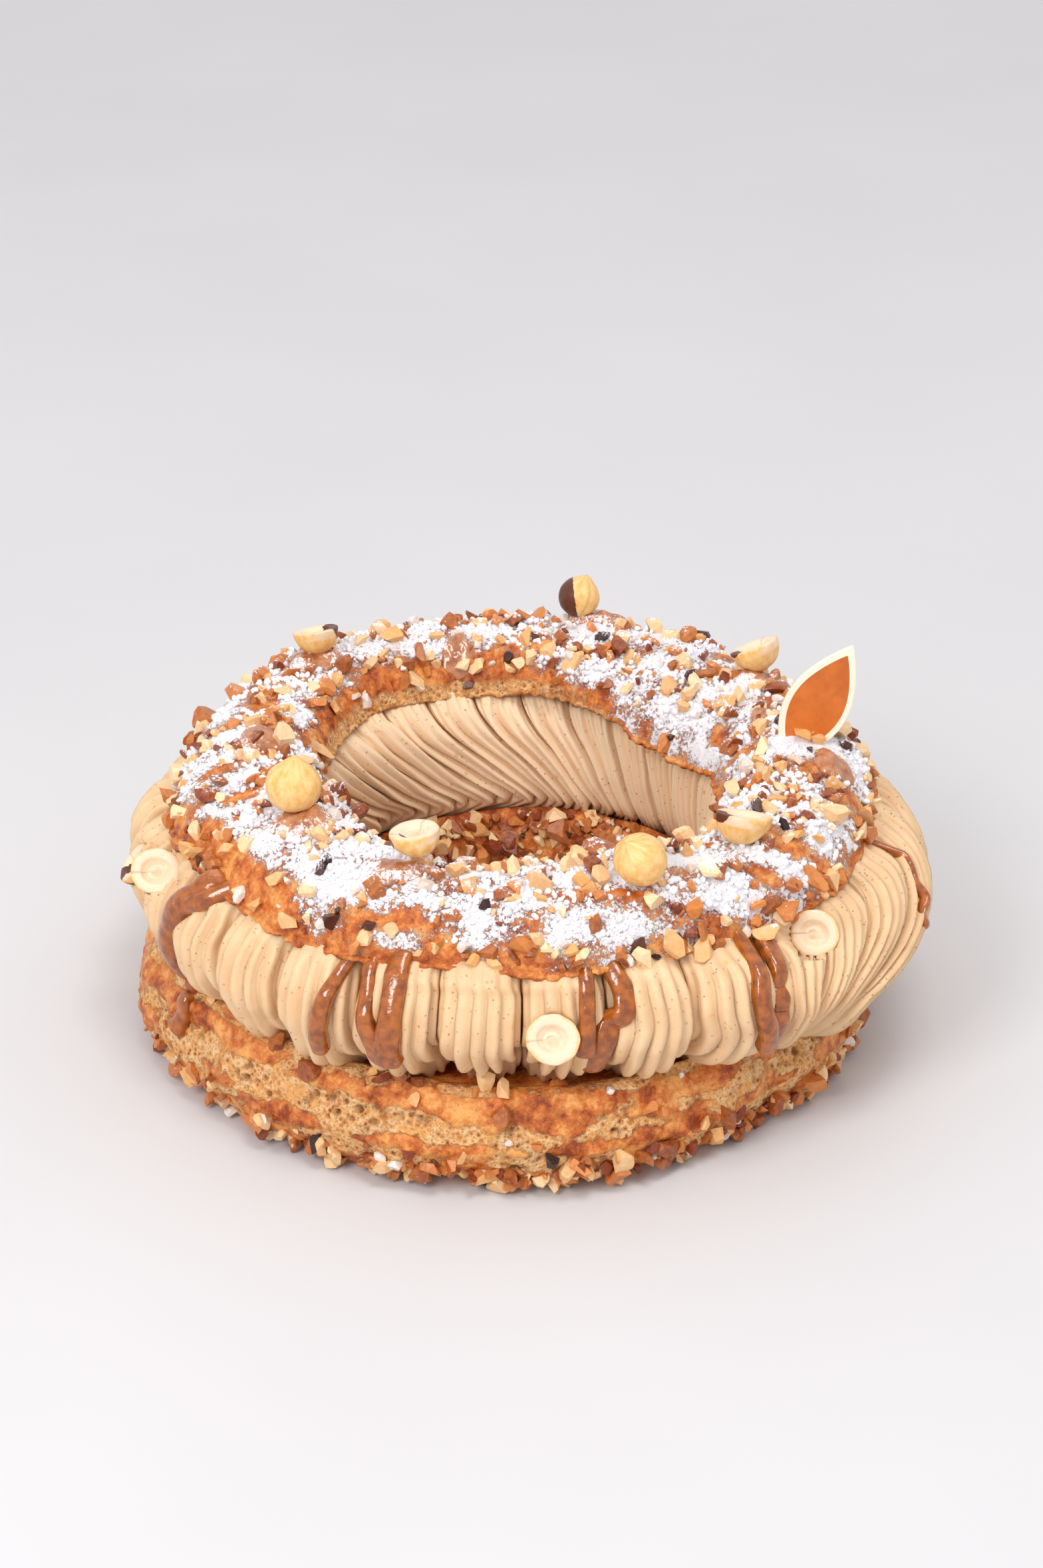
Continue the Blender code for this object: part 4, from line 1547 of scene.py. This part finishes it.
@dataclass
class Praline:
    """The dollops on the lid and the drips down the cream."""

    dollops: Sequence[Dollop] = (
        Dollop("praline_under_back", (21.0, 76.5), (10.0, 6.0), 3.6),
        Dollop("praline_under_back_left", (-57.0, 49.5), (7.5, 6.0), 2.6),
        Dollop("praline_under_back_right", (65.5, 39.5), (7.5, 6.0), 2.6),
        Dollop("praline_under_left", (-54.5, -44.0), (8.5, 7.0), 3.4),
        Dollop("praline_under_front_left", (-31.0, -68.0), (7.5, 5.5), 2.4),
        Dollop("praline_left", (-68.6, 0.7), (6.6, 5.6), 3.0),
        Dollop("praline_right", (81.0, -9.5), (5.5, 5.5), 3.0),
        Dollop("praline_back", (-17.4, 61.0), (4.5, 5.0), 2.2),
        Dollop("praline_by_leaf", (63.5, 16.6), (3.2, 4.2), 1.6),
    )
    drips: Sequence[Drip] = (
        Drip(6.4, ((-147.5, 61.5), (-151.5, 55.0), (-153.5, 46.0), (-154.2, 38.5), (-153.0, 33.5)), 2.6),
        Drip(4.2, ((-144.0, 61.5), (-147.5, 59.5), (-151.4, 56.0)), 1.8),
        Drip(3.9, ((-152.5, 28.0), (-152.2, 25.0), (-152.4, 21.0), (-153.0, 18.0)), 1.5, 1.2, True),
        Drip(3.4, ((-116.3, 61.0), (-118.4, 55.0), (-119.4, 46.0), (-119.9, 36.5))),
        Drip(3.8, ((-114.1, 61.0), (-113.0, 55.0), (-112.4, 49.0), (-111.2, 44.5), (-110.0, 40.0)), 1.4),
        Drip(5.0, ((-108.9, 61.5), (-108.8, 52.0), (-109.0, 45.0), (-109.8, 38.5)), 1.8, 1.25),
        Drip(3.6, ((-80.1, 61.5), (-80.6, 52.0), (-81.1, 42.5))),
        Drip(
            4.6,
            ((-76.8, 61.0), (-74.9, 57.5), (-75.1, 52.5), (-77.4, 47.6), (-79.1, 39.5), (-79.4, 36.5)),
            1.4,
        ),
        Drip(4.2, ((-53.0, 60.5), (-54.6, 56.5), (-55.6, 50.0), (-54.6, 42.0), (-53.9, 36.0)), 1.4),
        Drip(4.4, ((-48.7, 60.0), (-51.0, 54.0), (-51.8, 47.0), (-52.6, 41.0), (-53.6, 36.5)), 1.4),
        Drip(1.8, ((-13.8, 61.5), (-13.6, 58.1), (-16.4, 54.5), (-19.3, 50.5), (-22.0, 46.0)), 0.7, 1.6),
    )

    def run(self, drip: Drip, ground: "CreamRing | ChouxBase") -> Array:
        """Shapes one drip's skin, pinched shut at both ends.

        Args:
            drip: The drip.
            ground: What it runs down.

        Returns:
            Its places, (rows, columns, 3).
        """
        knots = np.array(drip.path)
        if not drip.on_base:
            knots[0, 1] += 2.6
        stretches = len(knots) - 1
        line = smooth_line(knots, [max(6, 56 // stretches)] * stretches, closed=False)
        rows = len(line)
        share = np.linspace(0, 1, rows)
        side = drip.width / 2 / 100 * 180 / pi * 0.8
        reach = []
        for angle, height in line:
            found = [ground.surface_at(angle + shift * side, height) for shift in (-1, -0.5, 0, 0.5, 1)]
            radii = [np.hypot(hit[0][0], hit[0][1]) for hit in found if hit]
            reach.append(np.percentile(radii, 85))
        kernel = np.ones(7) / 7
        reach = np.convolve(np.pad(np.array(reach), 3, mode="edge"), kernel, mode="valid")
        spine = round_ring(reach, line[:, 0], line[:, 1])
        along = np.gradient(spine, axis=0)
        along /= np.linalg.norm(along, axis=1, keepdims=True)
        outward = spine * np.array([1, 1, 0])
        outward /= np.linalg.norm(outward, axis=1, keepdims=True)
        across = np.cross(along, outward)
        across /= np.linalg.norm(across, axis=1, keepdims=True)
        outward = np.cross(across, along)
        swelling = (drip.bulb - 1 + 0.12) * np.exp(-(((share - 0.9) / 0.1) ** 2))
        waist = 1 + 0.16 * noise(spine, 6.0, 95, 2) + swelling
        ends = np.clip(1 - np.clip((share - 0.93) / 0.07, 0, 1) ** 2, 0, 1) ** 0.5
        half = drip.width / 2 * 1.32 * waist * ends * (0.86 + 0.14 * share)
        thick = 1.4 * drip.thickness * (0.75 + 0.45 * share) * ends
        turn = np.linspace(0, 2 * pi, 21)
        lift = np.where(np.sin(turn) > 0, np.abs(np.sin(turn)) ** 0.8, -1.9 * np.abs(np.sin(turn)))
        skin = spine[:, None] + across[:, None] * (half[:, None] * np.cos(turn))[..., None]
        skin = skin + outward[:, None] * (thick[:, None] * lift + 0.15)[..., None]
        skin[0] = skin[0].mean(axis=0)
        skin[-1] = skin[-1].mean(axis=0)
        return skin

    def build(self, lid: ChouxLid, cream: CreamRing, base: ChouxBase) -> None:
        """Builds and dresses the dollops and the drips.

        Args:
            lid: What the dollops lie on.
            cream: What the drips run down.
            base: What the lowest drop clings to.
        """
        paste = PralineFinish("praline_dollop", srgb(194, 130, 88), srgb(154, 90, 52)).make()
        for dollop in self.dollops:
            dress(dollop.build(lid), paste, "praline_paste", dollop.node)
        finish = PralineFinish().make()
        runs = []
        for count, drip in enumerate(self.drips):
            skin = self.run(drip, base if drip.on_base else cream)
            runs.append(sheet_of(f"drip_{count}", skin, {"sugar": np.zeros(skin.shape[:2])}))
        deselect()
        for run in runs:
            run.select_set(True)
        bpy.context.view_layer.objects.active = runs[0]
        bpy.ops.object.join()
        runs[0].name = runs[0].data.name = "praline_drips"
        dress(runs[0], finish, "praline_paste")


# ---- chopped nuts, coarse sugar and clumps of icing sugar ----


@dataclass
class BitShape:
    """One faceted chip, cut from a small ball."""

    seed: int
    cuts: int = 10
    roundness: float = 0.48

    def build(self) -> tuple[Array, Array]:
        """Cuts the chip.

        Returns:
            Its places, about 1 across the middle each way, (vertices, 3), and its triangles, (faces, 3).
        """
        draw = np.random.default_rng(self.seed)
        deselect()
        bpy.ops.mesh.primitive_ico_sphere_add(subdivisions=2, radius=1.0)
        chip = bpy.context.object
        edit(chip)
        for _ in range(self.cuts):
            way = draw.normal(size=3)
            way /= np.linalg.norm(way)
            bpy.ops.mesh.bisect(
                plane_co=tuple(way * draw.uniform(self.roundness - 0.2, self.roundness + 0.12)),
                plane_no=tuple(way),
                use_fill=True,
                clear_outer=True,
            )
            bpy.ops.mesh.select_all(action="SELECT")
        bpy.ops.mesh.remove_doubles(threshold=0.07)
        bpy.ops.mesh.normals_make_consistent(inside=False)
        bpy.ops.mesh.quads_convert_to_tris()
        bpy.ops.object.mode_set(mode="OBJECT")
        mesh = chip.data
        points = np.array([v.co for v in mesh.vertices])
        points -= (points.max(axis=0) + points.min(axis=0)) / 2
        points += 0.05 * noise(points * 3, 1.0, self.seed, 1)[:, None] * points
        faces = np.array([list(p.vertices) for p in mesh.polygons if len(p.vertices) == 3])
        bpy.data.objects.remove(chip)
        return points, faces


@dataclass
class Spot:
    """Where one bit goes."""

    place: Array
    normal: Array
    size: float


@dataclass
class Scatter:
    """Many bits of one kind, joined into one piece, dusted as the lid is if there is one."""

    name: str
    shrink: float
    spots: list[Spot]
    shapes: Sequence[tuple[Array, Array]]
    lid: ChouxLid | None
    seed: int
    sunk: float = 0.30

    def build(self) -> bpy.types.Object:
        """Places a turned and stretched copy of a chip at every spot.

        Returns:
            The joined bits.
        """
        draw = np.random.default_rng(self.seed)
        places, faces, tones, sugars = [], [], [], []
        count = 0
        for spot in self.spots:
            points, triangles = self.shapes[draw.integers(len(self.shapes))]
            four = draw.normal(size=4)
            matrix = np.array(Quaternion(four / np.linalg.norm(four)).to_matrix())
            stretch = draw.uniform(0.6, 1.25, size=3)
            body = (points * stretch) @ matrix.T * spot.size * self.shrink
            rise = body @ spot.normal
            body = body + spot.normal * (-rise.min() - self.sunk * (rise.max() - rise.min()))
            world = body + spot.place
            world[:, 2] += max(0.0, 0.05 - world[:, 2].min())
            up = body - body.mean(axis=0)
            up = up / np.linalg.norm(up, axis=1, keepdims=True)
            places.append(world)
            faces.append(triangles + count)
            count += len(points)
            tones.append(np.full(len(points), draw.uniform()))
            if self.lid is None:
                sugars.append(np.zeros(len(points)))
            else:
                cover = self.lid.sugar_at(world) * 0.9 - 0.32 + 0.35 * (draw.uniform() - 0.5)
                sugars.append(np.clip(cover * step_up(up[:, 2], 0.05, 0.7), 0, 1))
        mesh = bpy.data.meshes.new(self.name)
        mesh.from_pydata((np.concatenate(places) * MM).tolist(), [], np.concatenate(faces).tolist())
        piece = bpy.data.objects.new(self.name, mesh)
        bpy.context.scene.collection.objects.link(piece)
        write_values(piece, {"tone": np.concatenate(tones), "sugar": np.concatenate(sugars)})
        return piece


@dataclass
class Toppings:
    """Chopped nuts and coarse sugar on the lid, round the foot, on the base's rim and in the hole."""

    on_lid: int = 740
    on_lid_edge: int = 120
    round_foot: int = 470
    in_hole: int = 760
    on_rim: int = 36
    clumps: int = 4200
    kinds: Sequence[BitKind] = tuple(BitKind)
    # How much of each kind there is on the lid, and below it.
    lid_shares: Sequence[float] = (0.42, 0.39, 0.06, 0.13)
    low_shares: Sequence[float] = (0.31, 0.55, 0.03, 0.11)
    # Where the lid's outer slope has fewer bits, and where more lie round the foot.
    sparse: Features = ((-135, 0.6, 16),)
    heaped: Features = ((-60, 1.0, 45), (-120, 0.45, 40), (60, 0.35, 70))
    # A sugar grain's size, as a share of a chopped nut's.
    grain_size: float = 0.55
    # How far bits keep off a hazelnut, in millimetres.
    gap: float = 0.5
    # The middle and the radius of every hazelnut.
    taken: list[tuple[Array, float]] = field(default_factory=list)

    def size(self, draw: np.random.Generator) -> float:
        """A bit's size across, in millimetres: most are small."""
        return float(np.clip(draw.lognormal(0.95, 0.33), 1.5, 4.8))

    def is_clear(self, place: Array) -> bool:
        """Whether a place keeps off every hazelnut."""
        return all(np.linalg.norm(place - middle) > reach + self.gap for middle, reach in self.taken)

    def lay_on_lid(self, lid: ChouxLid, draw: np.random.Generator) -> list[Spot]:
        """Finds spots on the lid's top, and over its front edge.

        Args:
            lid: The lid.
            draw: The random draws.

        Returns:
            The spots.
        """
        spots = []
        while len(spots) < self.on_lid:
            angle = draw.uniform(-180, 180)
            inner, outer = lid.radii(np.array(angle))
            share = draw.beta(1.25, 1.25)
            if bump(np.array(angle), self.sparse) * (share > 0.7) > draw.uniform():
                continue
            radius = mix(inner, outer, share)
            at = round_ring(np.array(radius), np.array(angle), np.array(0.0))
            hit = lid.surface_at(at[0], at[1])
            if hit and self.is_clear(hit[0]):
                spots.append(Spot(hit[0], hit[1], self.size(draw)))
        while len(spots) < self.on_lid + self.on_lid_edge:
            angle = draw.uniform(-200, 20)
            _, outer = lid.radii(np.array(angle))
            at = round_ring(np.array(outer - draw.uniform(0, 2.2)), np.array(angle), np.array(0.0))
            hit = lid.surface_at(at[0], at[1])
            if hit and self.is_clear(hit[0]):
                spots.append(Spot(hit[0], hit[1], self.size(draw)))
        return spots

    def lay_on_base(self, base: ChouxBase, draw: np.random.Generator) -> list[Spot]:
        """Finds spots round the foot of the base, on its rim and on the wall of its hole.

        Args:
            base: The base.
            draw: The random draws.

        Returns:
            The spots.
        """
        spots = []
        while len(spots) < self.round_foot:
            angle = draw.uniform(-180, 180)
            thick = float(bump(np.array(angle), self.heaped))
            if draw.uniform() > 0.12 + thick:
                continue
            height = abs(draw.normal(0, 5.0)) + 2.2
            if height > 20 or (height > 9 and draw.uniform() > 0.6):
                continue
            hit = base.surface_at(angle, height)
            if hit:
                spots.append(Spot(hit[0], hit[1], self.size(draw)))
        while len(spots) < self.round_foot + self.in_hole:
            angle = draw.uniform(20, 160) if draw.uniform() < 0.68 else draw.uniform(-180, 180)
            height = draw.uniform(2.6, 29.3)
            start = np.array([0.0, 0.0, height])
            way = round_ring(np.array(1.0), np.array(angle), np.array(0.0))
            hit = cast(base.tree, start, way)
            if hit:
                spots.append(Spot(hit[0], hit[1], self.size(draw) * 1.05))
        while len(spots) < self.round_foot + self.in_hole + self.on_rim:
            angle = draw.uniform(-180, 0)
            at = round_ring(np.array(draw.uniform(90, 95)), np.array(angle), np.array(60.0))
            hit = cast(base.tree, at, np.array([0.0, 0.0, -1.0]))
            if hit and hit[0][2] > 20:
                spots.append(Spot(hit[0], hit[1], self.size(draw)))
        return spots

    def build(self, lid: ChouxLid, base: ChouxBase, nuts: Hazelnuts) -> None:
        """Scatters and dresses everything.

        Args:
            lid: What the toppings lie on.
            base: What the lower bits cling to.
            nuts: The hazelnuts, which the bits keep off.
        """
        draw = np.random.default_rng(11)
        self.taken = [(nut.place, nut.radius * nut.size) for nut in (*nuts.on_lid, *nuts.in_cream)]
        chips = [BitShape(seed).build() for seed in range(1, 13)]
        grains = [BitShape(seed, 9, 0.6).build() for seed in range(21, 26)]
        finishes = {kind: BitFinish(kind).make() for kind in self.kinds}
        areas = (
            ("lid", self.lay_on_lid(lid, draw), self.lid_shares, lid),
            ("base", self.lay_on_base(base, draw), self.low_shares, None),
        )
        for area, spots, shares, dusted in areas:
            picks = draw.choice(len(self.kinds), size=len(spots), p=shares)
            for index, kind in enumerate(self.kinds):
                chosen = [spot for spot, pick in zip(spots, picks) if pick == index]
                name = f"{kind.title}_on_{area}"
                if kind is BitKind.SUGAR_GRAIN:
                    scatter = Scatter(name, self.grain_size, chosen, grains, dusted, 100 + index)
                    dress(scatter.build(), finishes[kind], None)
                else:
                    scatter = Scatter(name, 1.0, chosen, chips, dusted, 100 + index)
                    dress(scatter.build(), finishes[kind], "hazelnut")
        self.build_clumps(lid, draw)

    def build_clumps(self, lid: ChouxLid, draw: np.random.Generator) -> None:
        """Lays small clumps of icing sugar where it lies thick, and dresses them.

        Args:
            lid: The lid.
            draw: The random draws.
        """
        deselect()
        bpy.ops.mesh.primitive_ico_sphere_add(subdivisions=1, radius=1.0)
        ball = bpy.context.object
        shape = (
            np.array([v.co for v in ball.data.vertices]),
            np.array([list(p.vertices) for p in ball.data.polygons]),
        )
        bpy.data.objects.remove(ball)
        spots = []
        while len(spots) < self.clumps:
            angle = draw.uniform(-180, 180, 400)
            inner, outer = lid.radii(angle)
            radius = mix(inner, outer, draw.uniform(0.04, 0.96, 400))
            at = round_ring(radius, angle, np.zeros(400))
            cover = lid.sugar_at(at + np.array([0, 0, 72.0]))
            for place in at[cover > draw.uniform(0.35, 1.0, 400)]:
                hit = lid.surface_at(place[0], place[1])
                if hit:
                    spots.append(Spot(hit[0], hit[1], float(draw.uniform(0.35, 1.15))))
        piece = Scatter("icing_sugar_clumps", 1.0, spots[: self.clumps], [shape], None, 140, 0.35).build()
        piece.data.shade_smooth()
        finish = PlainFinish("icing_sugar", srgb(246, 243, 247), 0.85, 0.02, 0.15).make()
        dress(piece, finish, None)


# ---- the plaque ----


@dataclass
class LeafPlaque:
    """A thin chocolate leaf with an ivory rim and a bare field."""

    length: float = 36.5
    width: float = 17.0
    thickness: float = 1.5
    rim: float = 1.5
    foot: tuple[float, float, float] = (68.8, 0.9, 72.0)
    tip: tuple[float, float, float] = (85.8, 4.3, 103.5)
    facing: tuple[float, float, float] = (0.0, -1.0, 0.15)
    steps: int = 36

    def outline(self, inset: float) -> Array:
        """Draws the leaf's outline.

        Args:
            inset: How far it is drawn in, in millimetres.

        Returns:
            Places across and along, (places, 2).
        """
        share = np.linspace(0, 1, self.steps + 1)
        bulge = np.sin(pi * share**0.92) ** 0.9
        half = bulge * (self.width / 2 - inset)
        along = inset * 1.9 + (self.length - inset * 3.8) * share
        right = np.stack([half, along], axis=-1)
        left = right[1:-1][::-1] * np.array([-1, 1])
        return np.concatenate([right, left])

    def level(self, line: Array, height: float) -> Array:
        """Sets a line of places, (places, 2), at a height over the middle of the slab."""
        return np.concatenate([line, np.full((len(line), 1), height)], axis=1)

    def build(self) -> None:
        """Shapes the slab as loops from the middle of its back to the middle of its field, and dresses it."""
        foot, tip = Vector(self.foot), Vector(self.tip)
        along = (tip - foot).normalized()
        outward = (Vector(self.facing) - along * along.dot(Vector(self.facing))).normalized()
        across = along.cross(outward)
        half = self.thickness / 2
        loops = [(0.3, -half), (0.0, 0.15 - half), (0.0, half - 0.15), (0.2, half), (self.rim, half)]
        loops += [(self.rim + 0.12, half - 0.14)]
        rings = [self.level(self.outline(inset), height) for inset, height in loops]
        spine = self.outline(self.rim * 1.02)
        spine[:, 0] = 0.0
        rings.insert(0, self.level(spine, -half))
        rings.append(self.level(spine, half - 0.14))
        flat = np.array([np.concatenate([ring, ring[:1]]) for ring in rings])
        on_field = np.zeros(flat.shape[:2])
        on_field[-2:] = 1.0
        basis = np.array(Matrix((across, along, outward)))
        leaf = sheet_of("leaf_plaque_slab", flat @ basis + np.array(self.foot), {"field": on_field})
        deselect()
        leaf.select_set(True)
        bpy.ops.object.shade_smooth_by_angle(angle=radians(30))
        dress(leaf, PlaqueFinish().make(), "plaque_chocolate", "leaf_plaque")


# ---- floor, light and camera ----


@dataclass(frozen=True)
class Lamp:
    """One soft square light that looks at the pastry. Its place and size are in metres."""

    name: str
    place: tuple[float, float, float]
    size: float
    power: float

    def build(self) -> None:
        """Makes it."""
        data = bpy.data.lights.new(self.name, "AREA")
        data.shape = "SQUARE"
        data.size = self.size
        data.energy = self.power
        lamp = bpy.data.objects.new(self.name, data)
        lamp.location = self.place
        lamp.rotation_euler = (Vector((0, 0, 0.04)) - Vector(self.place)).to_track_quat("-Z", "Y").to_euler()
        bpy.context.scene.collection.objects.link(lamp)


@dataclass
class Studio:
    """A pale floor, soft light and the camera. Its places and sizes are in metres."""

    floor_side: float = 9.0
    floor_colour: tuple = srgb(214, 212, 214)
    sky_strength: float = 0.85
    lamps: Sequence[Lamp] = (
        Lamp("key", (0.18, -0.40, 1.28), 0.42, 5.0),
        Lamp("fill", (-0.52, -0.88, 0.85), 0.45, 6.8),
    )
    camera_place: tuple[float, float, float] = (0.0, -0.9682, 0.5804)
    camera_tilt: float = 62.0
    lens: float = 95.8

    def build_floor(self) -> None:
        """Makes the floor."""
        deselect()
        bpy.ops.mesh.primitive_plane_add(size=self.floor_side)
        floor = bpy.context.object
        floor.name = "floor"
        r = Recipe("pale_floor", 0.6, Specular_IOR_Level=0.3)
        grey = tuple(part * 0.97 for part in self.floor_colour[:3]) + (1.0,)
        paint = r.ramp(r.grain(160.0, 3.0), [(0.35, grey), (0.65, self.floor_colour)])
        floor.data.materials.append(r.done(paint))

    def build_light(self) -> None:
        """Makes the light of the room and the lamps."""
        world = bpy.data.worlds.new("soft_room")
        bpy.context.scene.world = world
        world.use_nodes = True
        sky = world.node_tree.nodes["Background"]
        sky.inputs["Color"].default_value = (1.0, 1.0, 1.0, 1.0)
        sky.inputs["Strength"].default_value = self.sky_strength
        for lamp in self.lamps:
            lamp.build()

    def build_camera(self) -> None:
        """Makes the camera."""
        data = bpy.data.cameras.new("camera")
        data.lens = self.lens
        data.sensor_width = 36
        data.sensor_fit = "AUTO"
        data.clip_start = 0.01
        camera = bpy.data.objects.new("camera", data)
        camera.location = self.camera_place
        camera.rotation_euler = (radians(self.camera_tilt), 0, 0)
        bpy.context.scene.collection.objects.link(camera)
        bpy.context.scene.camera = camera
        bpy.context.scene.view_settings.view_transform = "Standard"


def main() -> None:
    """Builds the pastry from the inside out, then the studio."""
    logging.basicConfig(level=logging.INFO, format="%(message)s")
    studio = Studio()
    studio.build_floor()
    studio.build_light()
    studio.build_camera()
    nuts = Hazelnuts()
    lid = ChouxLid()
    dress(lid.build(), CrustFinish().make("lid_crust"), "choux_crust", "choux_lid")
    cream = CreamRing()
    dress(cream.build(lid, nuts.in_cream), CreamFinish().make(), "praline_cream", "cream_ring")
    base = ChouxBase()
    dress(base.build(), CrustFinish().make("base_crust"), "choux_crust", "choux_base")
    nuts.build()
    Praline().build(lid, cream, base)
    Toppings().build(lid, base, nuts)
    LeafPlaque().build()


if __name__ == "__main__":
    main()
